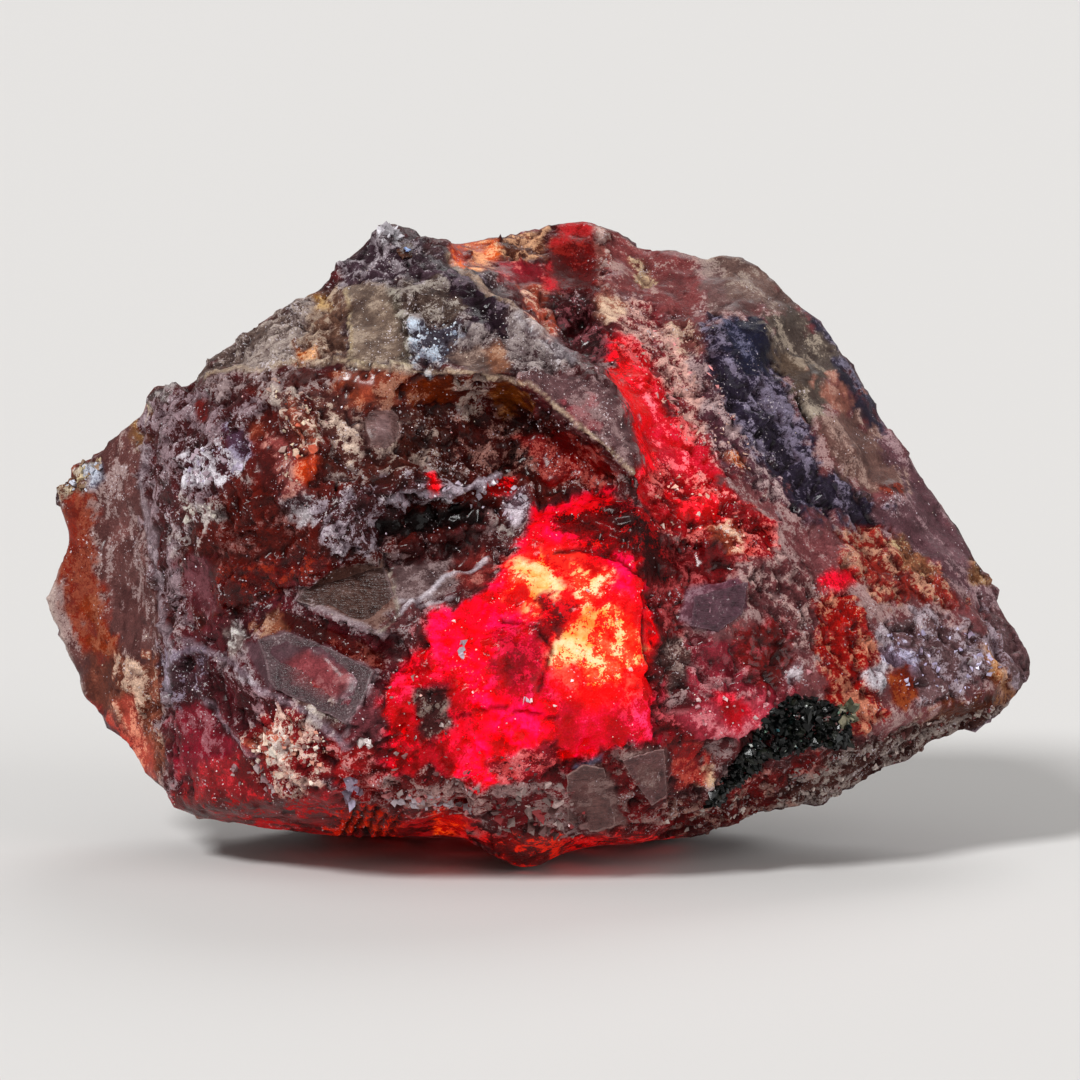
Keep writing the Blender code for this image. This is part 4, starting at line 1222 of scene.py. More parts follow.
@dataclass(frozen=True)
class StoneFinish:
    """Broken sphalerite: small glassy faces of many tones, specked, and with a painted glow in
    places.

    Attributes:
        name: the material's name.
        speck: the colour of the fine pale specks, partly frost and partly painted glints.
        face_mm: the size of the small faces.
        fine_mm: the size of the fine mottling.
        speck_mm: the size of the specks.
        glow_strength: how bright the painted glow of the lit places is.
        seep: the faint painted glow that all bare stone has.
    """

    name: str = "ruby_sphalerite"
    speck: Colour = (226, 214, 220)
    face_mm: float = 0.34
    fine_mm: float = 0.10
    speck_mm: float = 0.13
    glow_strength: float = 1.0
    seep: float = 0.14

    def faces(self, recipe: Recipe) -> tuple[Socket, Socket]:
        """Random flat faces: each cell has its own tilt and its own tone.

        The height rises evenly along the cell's own direction, as the dot product of its
        random vector with the way from its centre.

        Args:
            recipe: the material.

        Returns:
            The height in cell widths and the tone from 0 to 1.
        """
        scaled = recipe.vector("MULTIPLY", recipe.place(), (1.0 / (self.face_mm * MM),) * 3)
        wobble = recipe.node("ShaderNodeTexNoise", Vector=scaled, Scale=1.1, Detail=0.0)
        moved = recipe.vector("MULTIPLY_ADD", recipe.out(wobble, "Color"), (0.9,) * 3, scaled)
        cell = recipe.node("ShaderNodeTexVoronoi", Vector=moved, Scale=1.0)
        way = recipe.vector("SUBTRACT", moved, recipe.out(cell, "Position"))
        lean = recipe.vector("SUBTRACT", recipe.out(cell, "Color"), (0.5, 0.5, 0.5))
        height = recipe.vector("DOT_PRODUCT", way, lean, output="Value")
        split = recipe.node("ShaderNodeSeparateColor", Color=recipe.out(cell, "Color"))
        return height, recipe.out(split, "Green")

    def made(self) -> bpy.types.Material:
        """Builds the material on the stone's own attributes.

        Returns:
            The finished material.
        """
        recipe = Recipe(self.name)
        # The painted glow lies in places too many and too small to be aimed at as lamps
        recipe.material.cycles.emission_sampling = "NONE"
        names = ("level", "dust", "rough", "clear", "glow", "crisp", "veins")
        level, dust, rough, clear, glow, crisp, veins = (recipe.attribute(name) for name in names)
        face_height, face_tone = self.faces(recipe)
        fine = recipe.noise(self.fine_mm, 3.0, 0.65)
        middle = recipe.noise(0.32, 2.0, 0.6)
        tiny = recipe.noise(0.045, 0.0)
        broken = (level + (middle - 0.5) * 1.6 + (fine - 0.5) * 1.7 + (tiny - 0.5) * 0.5
                  + (face_tone - 0.5) * 0.25 * crisp)
        crust = broken.stepped(-0.03, 0.10)
        tint = recipe.mixed(crust, recipe.attribute("body_colour", "Color"),
                            recipe.attribute("crust_colour", "Color"))
        tone = ((face_tone - 0.5) * 0.6 * crisp + (fine - 0.5) * 1.5 + (middle - 0.5) * 0.8
                + (tiny - 0.5) * 0.7)
        toned = recipe.mixed(1.0, tint, recipe.warm_shade((tone + 1.0).held(0.2, 2.4)), "MULTIPLY")
        # Pale specks: partly frost, partly painted glints
        flecks = recipe.noise(self.speck_mm, 2.0, 0.5)
        specks = (flecks * 0.8 + dust * 0.16 + crust * 0.02).stepped(0.62, 0.66)
        unlit = recipe.mixed(1.0, toned, recipe.grey(1.0 - glow * 0.85), "MULTIPLY")
        colour = recipe.mixed(specks * 0.62, unlit, (*linear(self.speck), 1.0))
        # Painted glow: emission that stands in for light coming through the stone, and the faint
        # seep on all bare stone
        lit_tone = (veins * 0.9 + (fine - 0.5) * 0.9 + (middle - 0.5) * 0.7).held(0.0, 1.0)
        deep = recipe.node("ShaderNodeGamma", Color=tint, Gamma=1.0 + (1.0 - lit_tone) * 1.7)
        shine = glow * (lit_tone * 0.22 + 0.84) * (1.0 - specks * 0.4) + self.seep * (1.0 - crust)
        inner = recipe.mixed(1.0, recipe.out(deep), recipe.grey(shine), "MULTIPLY")
        roughness = (rough + (fine - 0.5) * 0.3 + (face_tone - 0.5) * 0.2 + crust * 0.25
                     + specks * 0.2).held(0.08, 0.9)
        height = face_height * crisp * 0.8 + fine * 0.9 * (crisp + 0.2) + middle * 1.1 * crisp
        normal = recipe.bumped(height, 0.17, 0.8)
        return recipe.finish(Base_Color=colour, Roughness=roughness, Normal=normal,
                             Coat_Weight=clear * (1.0 - crust), Coat_Roughness=0.16,
                             Emission_Color=inner, Emission_Strength=self.glow_strength,
                             Specular_IOR_Level=0.1, Specular_Tint=(1.0, 0.65, 0.65, 1.0), IOR=1.5)


@dataclass
class Stone:
    """The whole lump: the solid's form with the fine relief, the colours and painted glow of the
    front, and painted shade in its pits.

    Attributes:
        drawing: where the front's places are.
        cell_mm: the even spacing that the solid is first remeshed to.
        patch_warp_px: how far noise moves the patches' borders.
        stroke_warp_px: how far it moves the strokes.
        reach_px: how far past its outline a patch may reach.
        finish: its material.
        points: its vertices in metres.
        normals: their normals, before the relief.
        surface: what is painted on them.
        facets: the broken faces that they lie on.
        veins: noise for the veins in the lit places.
    """

    drawing: Drawing
    cell_mm: float = 0.394
    patch_warp_px: float = 12.0
    stroke_warp_px: float = 5.0
    reach_px: float = 30.0
    finish: StoneFinish = StoneFinish()
    points: np.ndarray | None = None
    normals: np.ndarray | None = None
    surface: Surface | None = None
    facets: Facets | None = None
    veins: np.ndarray | None = None

    def even_copy(self) -> bpy.types.Object:
        """Copies the solid, merges its loose triangles and remeshes them to an even spacing."""
        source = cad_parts[NODE]
        mesh = source.data.copy()
        mesh.name = "stone"
        piece = bpy.data.objects.new("stone", mesh)
        bpy.context.scene.collection.objects.link(piece)
        loose = bmesh.new()
        loose.from_mesh(mesh)
        bmesh.ops.remove_doubles(loose, verts=loose.verts, dist=1e-7)
        loose.to_mesh(mesh)
        loose.free()
        even = piece.modifiers.new("even", "REMESH")
        even.mode = "VOXEL"
        even.voxel_size = self.cell_mm * MM
        graph = bpy.context.evaluated_depsgraph_get()
        piece.data = bpy.data.meshes.new_from_object(piece.evaluated_get(graph))
        piece.modifiers.clear()
        return piece

    def refine_front(self, piece: bpy.types.Object) -> None:
        """Halves the edges of every face that the viewer can see, where the detail is finest."""
        mesh = bmesh.new()
        mesh.from_mesh(piece.data)
        mesh.normal_update()
        viewer = Vector(self.drawing.toward_viewer)
        seen = [face for face in mesh.faces if face.normal.dot(viewer) > 0.1]
        edges = list({edge for face in seen for edge in face.edges})
        bmesh.ops.subdivide_edges(mesh, edges=edges, cuts=1, use_grid_fill=True)
        bmesh.ops.triangulate(mesh, faces=[face for face in mesh.faces if len(face.verts) > 4])
        bmesh.ops.smooth_vert(mesh, verts=mesh.verts, factor=0.5, use_axis_x=True, use_axis_y=True,
                              use_axis_z=True)
        mesh.to_mesh(piece.data)
        mesh.free()

    def read(self, piece: bpy.types.Object) -> Net:
        """Reads the mesh's points, normals and edges as arrays."""
        mesh = piece.data
        count = len(mesh.vertices)
        points = np.empty(count * 3)
        normals = np.empty(count * 3)
        edges = np.empty(len(mesh.edges) * 2, dtype=np.int32)
        mesh.vertices.foreach_get("co", points)
        mesh.vertices.foreach_get("normal", normals)
        mesh.edges.foreach_get("vertices", edges)
        self.points = points.reshape(-1, 3)
        self.normals = normals.reshape(-1, 3)
        return Net(count, edges.reshape(-1, 2))

    def paint(self) -> None:
        """Lays the patches and strokes on the side that the viewer sees."""
        points_mm = self.points / MM
        self.facets = Facets.of(points_mm)
        self.surface = Surface.unpainted(points_mm, self.facets)
        self.veins = rough_noise(points_mm, 1.5, 81, 5)
        seen = self.drawing.seen(self.points)
        front = soft_step(self.normals @ self.drawing.toward_viewer, -0.15, 0.12)
        warp = np.stack([rough_noise(points_mm, 1.1, 41 + axis) for axis in range(2)], axis=1) - 0.5
        places = seen[:, :2] + self.patch_warp_px * warp
        wander, tone = self.facets.edge_wander, self.facets.tone
        for patch in PATCHES:
            low = np.min(patch.corners, axis=0) - self.reach_px
            high = np.max(patch.corners, axis=0) + self.reach_px
            reach = (front > 0.0) & np.all((places > low) & (places < high), axis=1)
            where = np.flatnonzero(reach)
            cover = front[where] * patch.laid(places[where], wander[where])
            where, cover = where[cover > 0.0], cover[cover > 0.0]
            spots = self.facets.spots(points_mm, where, patch, self.drawing.upward)
            self.surface.lay_patch(patch, where, cover, spots, tone[where])
        thin = seen[:, :2] + self.stroke_warp_px * warp
        for stroke in STROKES:
            self.surface.lay_stroke(stroke, front * stroke.cover(thin))
        LOG.info("painted %d of %d vertices", int(np.sum(front > 0.0)), len(front))

    def relief(self) -> np.ndarray:
        """The height of the broken surface over the smooth one, in millimetres.

        Lumps are noise, chips are tilted planes of random cells of two sizes, grains are
        rounded cells, and steps are a staircase along one cleavage direction.

        Returns:
            One height for each vertex.
        """
        points_mm = self.points / MM
        lumps, chips, grains, steps = self.surface.heights.T
        facets = self.facets
        level = points_mm @ np.array([0.45, 0.30, 0.84]) / 0.9 + rough_noise(points_mm, 5.0, 64)
        tread = level - np.floor(level)
        stair = soft_step(tread, 0.7, 1.0) - tread
        height = lumps * 2.0 * (rough_noise(points_mm, 2.2, 65) - 0.5)
        faces = facets.large.tilted(points_mm, 0.9) + facets.small.tilted(points_mm, 1.0)
        height += chips * faces
        height += grains * (0.55 - facets.crumbs.near)
        height += steps * stair
        behind = 1.0 - soft_step(self.normals @ self.drawing.toward_viewer, -0.3, 0.0)
        height += behind * facets.blocks.tilted(points_mm, 0.42)
        return height + self.surface.values["raised"]

    def shape(self, net: Net) -> None:
        """Moves each vertex along its normal by the relief, keeping the foot flat, and paints shade
        into pits.
        """
        height = self.relief()
        facing = np.abs(self.normals @ self.drawing.toward_viewer)
        height = height * (0.35 + 0.65 * soft_step(facing, 0.0, 0.45))
        cavity = height - net.spread(height, 10)
        off_ground = soft_step(self.points[:, 2] / MM, 0.15, 1.2)
        self.points = self.points + self.normals * (height * off_ground * MM)[:, None]
        self.points[:, 2] = np.maximum(self.points[:, 2], 0.0)
        # Painted shade: the colours darken where the surface lies lower than its neighbours, in
        # pits and creases
        depth_shade = 0.34 + 0.66 * soft_step(cavity, -0.13, 0.02)
        surface = self.surface
        lit_share = np.clip(2.0 * surface.values["glow"], 0.0, 1.0)
        surface.body = shaded(surface.body, depth_shade, lit_share)
        surface.crust = shaded(surface.crust, depth_shade, lit_share)
        drift = rough_noise(self.points / MM, 1.2, 91, 3) - 0.5
        # The pale specks, partly painted glints, gather where the surface stands up and thin out in
        # pits
        dust = np.clip(surface.values["dust"] + 1.2 * cavity, 0.0, 1.0)
        surface.values["dust"] = dust + 2.0 * drift

    def write(self, piece: bpy.types.Object) -> None:
        """Puts the points and the attributes into the mesh."""
        mesh = piece.data
        mesh.vertices.foreach_set("co", self.points.ravel())
        opaque = np.ones((len(self.points), 1))
        colours = {"body_colour": self.surface.body, "crust_colour": self.surface.crust}
        for name, values in colours.items():
            layer = mesh.attributes.new(name, "FLOAT_COLOR", "POINT")
            layer.data.foreach_set("color", np.hstack([values, opaque]).ravel())
        crisp = soft_step(self.surface.heights[:, 1], 0.0, 0.6) * 0.85 + 0.15
        veins = soft_step(self.veins, 0.36, 0.58)
        for name, values in {**self.surface.values, "crisp": crisp, "veins": veins}.items():
            layer = mesh.attributes.new(name, "FLOAT", "POINT")
            layer.data.foreach_set("value", values)
        mesh.update()
        mesh.shade_smooth()

    def sites(self, corners: Corners, count: int, seed: int) -> np.ndarray:
        """Picks vertices of the front inside an outline of the drawing.

        Args:
            corners: the outline.
            count: how many are wanted.
            seed: which random pick.

        Returns:
            The indices of the picked vertices.
        """
        seen = self.drawing.seen(self.points)
        facing = self.normals @ self.drawing.toward_viewer > 0.25
        low, high = np.min(corners, axis=0), np.max(corners, axis=0)
        close = np.all((seen[:, :2] > low) & (seen[:, :2] < high), axis=1)
        near = np.flatnonzero(facing & close)
        inside = near[inside_distance(seen[near, :2], corners) > 0.0]
        return np.random.default_rng(seed).permutation(inside)[:count]

    def build(self) -> bpy.types.Object:
        """Makes the stone and lets it stand for the solid."""
        piece = self.even_copy()
        self.refine_front(piece)
        net = self.read(piece)
        self.paint()
        self.shape(net)
        self.write(piece)
        piece.data.materials.clear()
        piece.data.materials.append(self.finish.made())
        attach(piece, BODY)
        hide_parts(NODE)
        LOG.info("stone: %d vertices, %d faces", len(piece.data.vertices), len(piece.data.polygons))
        return piece


class Cut(Enum):
    """The form of a small crystal or chip: rows of its corners, in half widths."""

    BLOCK = ((-1, -1, -1), (1, -1, -1), (1, 1, -1), (-1, 1, -1), (-1, -1, 1), (1, -1, 1), (1, 1, 1),
             (-1, 1, 1))
    SPLINTER = ((-1.9, -0.5, -0.5), (-0.4, -0.9, -0.2), (-0.5, 0.7, -0.4), (1.9, 0.1, 0.1),
                (0.4, -0.5, 0.6), (-0.9, 0.2, 0.7))
    CRYSTAL = ((0, 0, 1.5), (1, 0, 0.3), (0, 1, 0.3), (-1, 0, 0.3), (0, -1, 0.3), (0.8, 0.8, -0.9),
               (-0.8, 0.8, -0.9), (-0.8, -0.8, -0.9), (0.8, -0.8, -0.9))
    GRAIN = ((1, 0, 0), (-1, 0, 0), (0, 1, 0), (0, -1, 0), (0, 0, 1), (0, 0, -1))

    def hull(self) -> tuple[np.ndarray, np.ndarray]:
        """The corners, and the triangles of their convex hull."""
        mesh = bmesh.new()
        for corner in self.value:
            mesh.verts.new(corner)
        bmesh.ops.convex_hull(mesh, input=mesh.verts)
        bmesh.ops.triangulate(mesh, faces=mesh.faces)
        mesh.verts.index_update()
        corners = np.array([vertex.co[:] for vertex in mesh.verts])
        faces = np.array([[vertex.index for vertex in face.verts] for face in mesh.faces])
        mesh.free()
        return corners, faces


@dataclass(frozen=True)
class Litter:
    """Small loose forms that lie in one place of the front.

    Attributes:
        name: what they are.
        corners: the place's outline in the drawing.
        count: how many.
        sizes: the smallest and largest half width in millimetres.
        colours: the colours that they have, as on a screen.
        cut: their form.
        sunk: how far each lies in the stone, as a share of its size.
        uneven: how much each corner wanders, as a share of its size.
    """

    name: str
    corners: Corners
    count: int
    sizes: tuple[float, float]
    colours: tuple[Colour, ...]
    cut: Cut = Cut.BLOCK
    sunk: float = 0.3
    uneven: float = 0.35


WHOLE_FRONT = [
    (60, 470), (150, 400), (230, 330), (340, 260), (390, 235), (560, 225), (700, 255), (800, 305),
    (880, 420), (980, 560), (1030, 660), (900, 750), (700, 820), (530, 850), (180, 820), (80, 690),
]

DRUSE = [
    Litter("druse", [(790, 697), (828, 702), (850, 716), (848, 745), (800, 748), (770, 760),
        (742, 778), (722, 800), (706, 806), (712, 790), (730, 770), (748, 742), (764, 718)], 1500,
        (0.07, 0.24), ((4, 5, 5), (8, 10, 9), (3, 3, 4), (24, 26, 20), (5, 12, 11)), Cut.CRYSTAL,
        0.2, 0.4),
    # druse_glints: pale forms that are painted glints on the black crystals
    Litter("druse_glints", [(790, 700), (845, 716), (830, 742), (760, 765), (722, 795), (748, 745)],
        46, (0.04, 0.09), ((180, 190, 180), (120, 150, 130), (90, 150, 160), (200, 206, 200)),
        Cut.CRYSTAL, -1.2, 0.4),
    Litter("druse_tip", [(836, 702), (856, 704), (858, 722), (842, 728)], 26, (0.14, 0.3),
        ((104, 100, 80), (70, 72, 56), (130, 124, 104)), Cut.CRYSTAL, 0.2, 0.3),
]

CHIPS = [
    Litter("core_bits", [(384, 690), (430, 668), (460, 700), (484, 750), (550, 776), (500, 806),
        (384, 800)], 70, (0.04, 0.16), ((130, 96, 94), (176, 156, 154), (170, 30, 48),
        (106, 62, 62), (190, 70, 84), (90, 40, 42)), Cut.BLOCK, 0.75, 0.9),
    Litter("core_white", [(400, 640), (520, 580), (640, 560), (640, 700), (480, 730), (400, 720)],
        14, (0.03, 0.08), ((236, 214, 214), (255, 200, 190), (190, 180, 190)), Cut.BLOCK, 0.2, 0.7),
    Litter("core_grey", [(458, 643), (468, 643), (468, 656), (458, 656)], 3, (0.14, 0.2),
        ((170, 162, 176), (150, 140, 150)), Cut.BLOCK, 0.4, 0.7),
    Litter("core_splinter", [(516, 698), (532, 701), (530, 707), (518, 705)], 2, (0.12, 0.18),
        ((200, 176, 190),), Cut.SPLINTER, 0.3, 0.5),
    Litter("foot_bits", [(486, 796), (560, 780), (600, 830), (560, 840), (500, 838)], 70,
        (0.06, 0.24), ((150, 126, 122), (180, 156, 152), (150, 40, 44), (104, 70, 68)), Cut.BLOCK,
        0.6, 0.8),
    Litter("white_foot_line", [(384, 788), (440, 794), (480, 812), (470, 818), (384, 802)], 50,
        (0.05, 0.18), ((190, 178, 186), (170, 152, 156), (210, 130, 130)), Cut.BLOCK, 0.5, 0.8),
    Litter("lilac_crystal", [(342, 782), (360, 780), (364, 800), (346, 804)], 9, (0.2, 0.4),
        ((140, 124, 144), (180, 168, 194), (110, 84, 98)), Cut.CRYSTAL, 0.6, 0.6),
    Litter("white_chips_low", [(358, 738), (370, 740), (370, 750), (360, 746)], 4, (0.14, 0.22),
        ((200, 186, 184),), Cut.BLOCK, 0.4, 0.7),
    Litter("tan_crumbs", [(250, 730), (290, 716), (326, 738), (330, 772), (290, 796), (254, 772)],
        110, (0.04, 0.15), ((226, 200, 182), (206, 142, 122), (236, 222, 208), (170, 70, 62),
        (150, 112, 106)), Cut.BLOCK, 0.6, 0.8),
    Litter("vein_crumbs", [(272, 380), (294, 376), (318, 424), (316, 446), (300, 490), (280, 478),
        (284, 420), (268, 400)], 70, (0.04, 0.14), ((216, 194, 168), (190, 160, 140), (196, 90, 64),
        (170, 136, 126)), Cut.BLOCK, 0.6, 0.8),
    Litter("pale_upper_left", [(182, 462), (200, 448), (232, 446), (242, 470), (215, 478),
        (186, 486)], 70, (0.04, 0.14), ((206, 198, 206), (180, 168, 188), (160, 140, 150)),
        Cut.BLOCK, 0.5, 0.8),
    Litter("pale_mid_left", [(184, 500), (214, 503), (220, 516), (204, 524), (184, 520)], 40,
        (0.04, 0.14), ((196, 186, 176), (170, 154, 150)), Cut.BLOCK, 0.5, 0.8),
    Litter("blue_crumbs", [(412, 332), (440, 325), (458, 322), (452, 345), (446, 360), (416, 364)],
        30, (0.03, 0.09), ((186, 198, 216), (140, 150, 170), (216, 224, 236)), Cut.BLOCK, 0.5, 0.8),
    Litter("spike", [(378, 230), (390, 223), (400, 231), (398, 240)], 26, (0.1, 0.26),
        ((190, 186, 192), (160, 154, 160)), Cut.CRYSTAL, 0.5, 0.7),
    Litter("ledge_crumbs", [(384, 500), (440, 488), (500, 474), (530, 500), (524, 526), (500, 520),
        (440, 500)], 60, (0.04, 0.14), ((180, 166, 180), (150, 136, 146), (204, 194, 202)),
        Cut.BLOCK, 0.5, 0.8),
    Litter("mottle_crumbs", [(650, 470), (700, 480), (762, 510), (772, 560), (700, 560),
        (655, 530)], 70, (0.03, 0.09), ((226, 176, 156), (216, 110, 110), (226, 196, 184)),
        Cut.BLOCK, 0.5, 0.8),
    Litter("pink_crumbs", [(620, 300), (700, 340), (760, 470), (700, 470), (640, 380)], 140,
        (0.04, 0.12), ((200, 160, 144), (216, 140, 140), (180, 146, 142)), Cut.SPLINTER, 0.5, 0.6),
    Litter("by_druse", [(690, 700), (760, 690), (810, 660), (820, 700), (760, 720), (700, 745)], 40,
        (0.04, 0.12), ((180, 120, 126), (200, 166, 166), (150, 90, 96)), Cut.BLOCK, 0.5, 0.8),
    Litter("lavender_splinters", [(880, 640), (930, 612), (985, 636), (1003, 670), (960, 698),
        (915, 702), (892, 668)], 80, (0.05, 0.16), ((180, 168, 200), (200, 192, 220),
        (146, 126, 146)), Cut.SPLINTER, 0.6, 0.6),
    Litter("wing_lumps", [(56, 486), (78, 456), (102, 460), (98, 484), (70, 498)], 40, (0.05, 0.14),
        ((186, 168, 136), (190, 194, 208), (140, 110, 86)), Cut.BLOCK, 0.6, 0.8),
    Litter("grey_chips_low", [(226, 770), (262, 762), (280, 790), (250, 800)], 18, (0.06, 0.2),
        ((176, 156, 156), (140, 106, 110)), Cut.BLOCK, 0.6, 0.8),
    Litter("band_crumbs", [(770, 786), (800, 766), (930, 722), (1000, 706), (940, 748), (860, 792),
        (760, 814), (680, 836), (660, 820)], 240, (0.04, 0.12), ((160, 142, 136), (130, 106, 102),
        (186, 170, 162), (110, 44, 42)), Cut.BLOCK, 0.6, 0.8),
]

# Pale grains over the front: partly frost, partly painted glints that stand in for light caught by
# tiny faces
GRAINS = [
    Litter("sparkles", WHOLE_FRONT, 900, (0.02, 0.045), ((216, 204, 212), (190, 172, 182),
        (200, 170, 170), (240, 220, 200)), Cut.GRAIN, -0.2, 0.2),
    Litter("face_sparkles", [(150, 400), (330, 370), (520, 384), (620, 470), (480, 530), (330, 575),
        (200, 640), (160, 620)], 450, (0.025, 0.06), ((226, 216, 226), (190, 170, 186),
        (206, 150, 150)), Cut.GRAIN, -0.2, 0.2),
    Litter("low_sparkles", [(170, 640), (330, 600), (420, 640), (390, 790), (180, 800)], 200,
        (0.025, 0.06), ((226, 206, 210), (196, 170, 176)), Cut.GRAIN, -0.2, 0.2),
    Litter("facet_sparkles", [(520, 374), (590, 367), (628, 410), (640, 465), (600, 445),
        (545, 402)], 90, (0.02, 0.045), ((214, 196, 196),), Cut.GRAIN, -0.2, 0.2),
    Litter("top_sparkles", [(345, 282), (380, 240), (440, 250), (520, 330), (560, 366), (352, 362)],
        180, (0.025, 0.055), ((200, 194, 194), (190, 176, 170)), Cut.GRAIN, -0.2, 0.2),
]


Form = tuple[np.ndarray, np.ndarray, np.ndarray]


def coloured_mesh(name: str, forms: list[Form]) -> bpy.types.Mesh:
    """Joins forms in one mesh: each one's triangles are shifted past the points before it.

    Args:
        name: the mesh's name.
        forms: the points in metres, the triangles and each point's colour, for each form.

    Returns:
        The mesh, with the colours in its attribute chip_colour.
    """
    counts = [len(points) for points, faces, tints in forms]
    starts = np.cumsum([0] + counts[:-1])
    shifted = [faces + start for (points, faces, tints), start in zip(forms, starts)]
    points = np.vstack([points for points, faces, tints in forms])
    tints = np.vstack([tints for points, faces, tints in forms])
    mesh = bpy.data.meshes.new(name)
    mesh.from_pydata(points.tolist(), [], np.vstack(shifted).tolist())
    layer = mesh.attributes.new("chip_colour", "FLOAT_COLOR", "POINT")
    layer.data.foreach_set("color", np.hstack([tints, np.ones((len(tints), 1))]).ravel())
    return mesh


def riding_piece(mesh: bpy.types.Mesh, material: bpy.types.Material) -> bpy.types.Object:
    """Makes a finished mesh a piece of its own name that rides the stone's body."""
    piece = bpy.data.objects.new(mesh.name, mesh)
    bpy.context.scene.collection.objects.link(piece)
    mesh.materials.append(material)
    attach(piece, BODY)
    LOG.info("%s: %d faces", piece.name, len(mesh.polygons))
    return piece


@dataclass(frozen=True)
class ChipFinish:
    """One colour for each loose form, with fine mottling.

    Attributes:
        name: the material's name.
        rough: its roughness.
        coat: how glassy a coat it has.
        mottle: how strong the mottling is.
        shine: how strongly it mirrors.
    """

    name: str
    rough: float = 0.45
    coat: float = 0.2
    mottle: float = 1.2
    shine: float = 0.4

    def made(self) -> bpy.types.Material:
        """Builds the material on the forms' own colours."""
        recipe = Recipe(self.name)
        fine = recipe.noise(0.12, 3.0, 0.6)
        shade = ((fine - 0.5) * self.mottle + 1.0).held(0.3, 1.8)
        colour = recipe.mixed(1.0, recipe.attribute("chip_colour", "Color"), recipe.grey(shade),
                              "MULTIPLY")
        return recipe.finish(Base_Color=colour, Roughness=self.rough, Coat_Weight=self.coat,
                             Coat_Roughness=0.1, Specular_IOR_Level=self.shine,
                             Normal=recipe.bumped(fine, 0.05, 0.4))


@dataclass
class Scatter:
    """All the loose forms of one finish, as one piece.

    Attributes:
        name: the piece's name.
        stone: what they lie on.
        litters: the kinds of forms.
        finish: their material.
        seed: which random layout.
        lean: how far a form leans from the stone's normal.
        stretch: the least and most that a form is stretched along each of its axes.
    """

    name: str
    stone: Stone
    litters: list[Litter]
    finish: ChipFinish
    seed: int
    lean: float = 0.35
    stretch: tuple[float, float] = (0.6, 1.3)

    def strewn(self, litter: Litter, seed: int) -> Form:
        """Lays one kind: each form is turned, sized and bent at random and set on its vertex.

        A form's turn comes from three random vectors made square to each other, the third
        near the stone's normal.

        Args:
            litter: the kind.
            seed: which random layout.

        Returns:
            The points in metres, the triangles and each point's colour.
        """
        random = np.random.default_rng(seed)
        corners, faces = litter.cut.hull()
        where = self.stone.sites(litter.corners, litter.count, seed)
        count = len(where)
        up = self.stone.normals[where] + random.normal(0.0, self.lean, (count, 3))
        up /= np.linalg.norm(up, axis=1)[:, None]
        side = np.cross(up, random.normal(0.0, 1.0, (count, 3)))
        side /= np.linalg.norm(side, axis=1)[:, None]
        turn = np.stack([side, np.cross(up, side), up], axis=1)
        low, high = litter.sizes
        size = low + (high - low) * random.random(count) ** 2.0
        stretch = random.uniform(*self.stretch, (count, 1, 3))
        wander = random.normal(0.0, litter.uneven * 0.5, (count, len(corners), 3))
        bent = (corners[None] + wander) * stretch
        points = np.einsum("nci,nij->ncj", bent * size[:, None, None], turn) * MM
        lift = (0.5 - litter.sunk) * size * MM
        points += (self.stone.points[where] + self.stone.normals[where] * lift[:, None])[:, None, :]
        points[..., 2] = np.maximum(points[..., 2], GROUND_GAP_M)
        picks = np.array([linear(colour) for colour in litter.colours])
        tints = picks[random.integers(0, len(picks), count)] * random.uniform(0.7, 1.25, (count, 1))
        shifted = faces[None] + (np.arange(count) * len(corners))[:, None, None]
        return points.reshape(-1, 3), shifted.reshape(-1, 3), np.repeat(tints, len(corners), axis=0)

    def build(self) -> bpy.types.Object:
        """Joins all kinds in one mesh that rides the stone."""
        forms = [self.strewn(kind, self.seed + index) for index, kind in enumerate(self.litters)]
        return riding_piece(coloured_mesh(self.name, forms), self.finish.made())


@dataclass(frozen=True)
class Plate:
    """One flat cleavage plate that stands a little out of the stone.

    Attributes:
        name: which one.
        corners: its outline in the drawing.
        lift_mm: how far it stands out.
        colour: its face.
        edge: its bevelled edge.
        heart: its middle.
        crown_mm: how much its middle rises over its rim.
    """

    name: str
    corners: Corners
    lift_mm: float
    colour: Colour
    edge: Colour
    heart: Colour
    crown_mm: float = 0.0


PLATES = [
    Plate("upper_plate", [(307, 582), (336, 571), (384, 566), (397, 604), (374, 634), (330, 614),
        (296, 600)], 0.08, (56, 36, 32), (108, 88, 88), (66, 44, 38)),
    Plate("lower_plate", [(258, 640), (286, 631), (330, 648), (375, 671), (364, 700), (346, 724),
        (312, 706), (272, 688)], 0.08, (58, 36, 40), (100, 78, 82), (92, 28, 32)),
    Plate("fan_plate", [(566, 776), (584, 764), (604, 768), (616, 826), (592, 832), (568, 822)],
        0.1, (82, 50, 48), (136, 108, 104), (104, 68, 64)),
    Plate("small_plate", [(622, 760), (664, 748), (667, 796), (652, 806), (634, 782)], 0.08,
        (82, 48, 48), (128, 98, 96), (106, 66, 64)),
    Plate("mauve_plate", [(694, 596), (748, 582), (742, 614), (717, 632), (690, 626)], 0.08,
        (62, 34, 44), (92, 66, 74), (72, 42, 52)),
    Plate("grey_bump", [(367, 416), (376, 406), (390, 405), (399, 418), (397, 438), (386, 450),
        (371, 444), (365, 428)], 0.06, (92, 66, 64), (112, 88, 84), (106, 80, 80), 0.3),
    Plate("bead", [(396, 251), (400, 245), (411, 243), (418, 249), (413, 257), (402, 259)], 0.1,
        (64, 32, 18), (84, 56, 42), (52, 24, 12), 0.4),
    # bead_glint: a painted blue reflection on the bead
    Plate("bead_glint", [(403, 248), (408, 246), (413, 249), (407, 252)], 0.46, (96, 128, 186),
        (70, 84, 120), (150, 176, 220)),
]


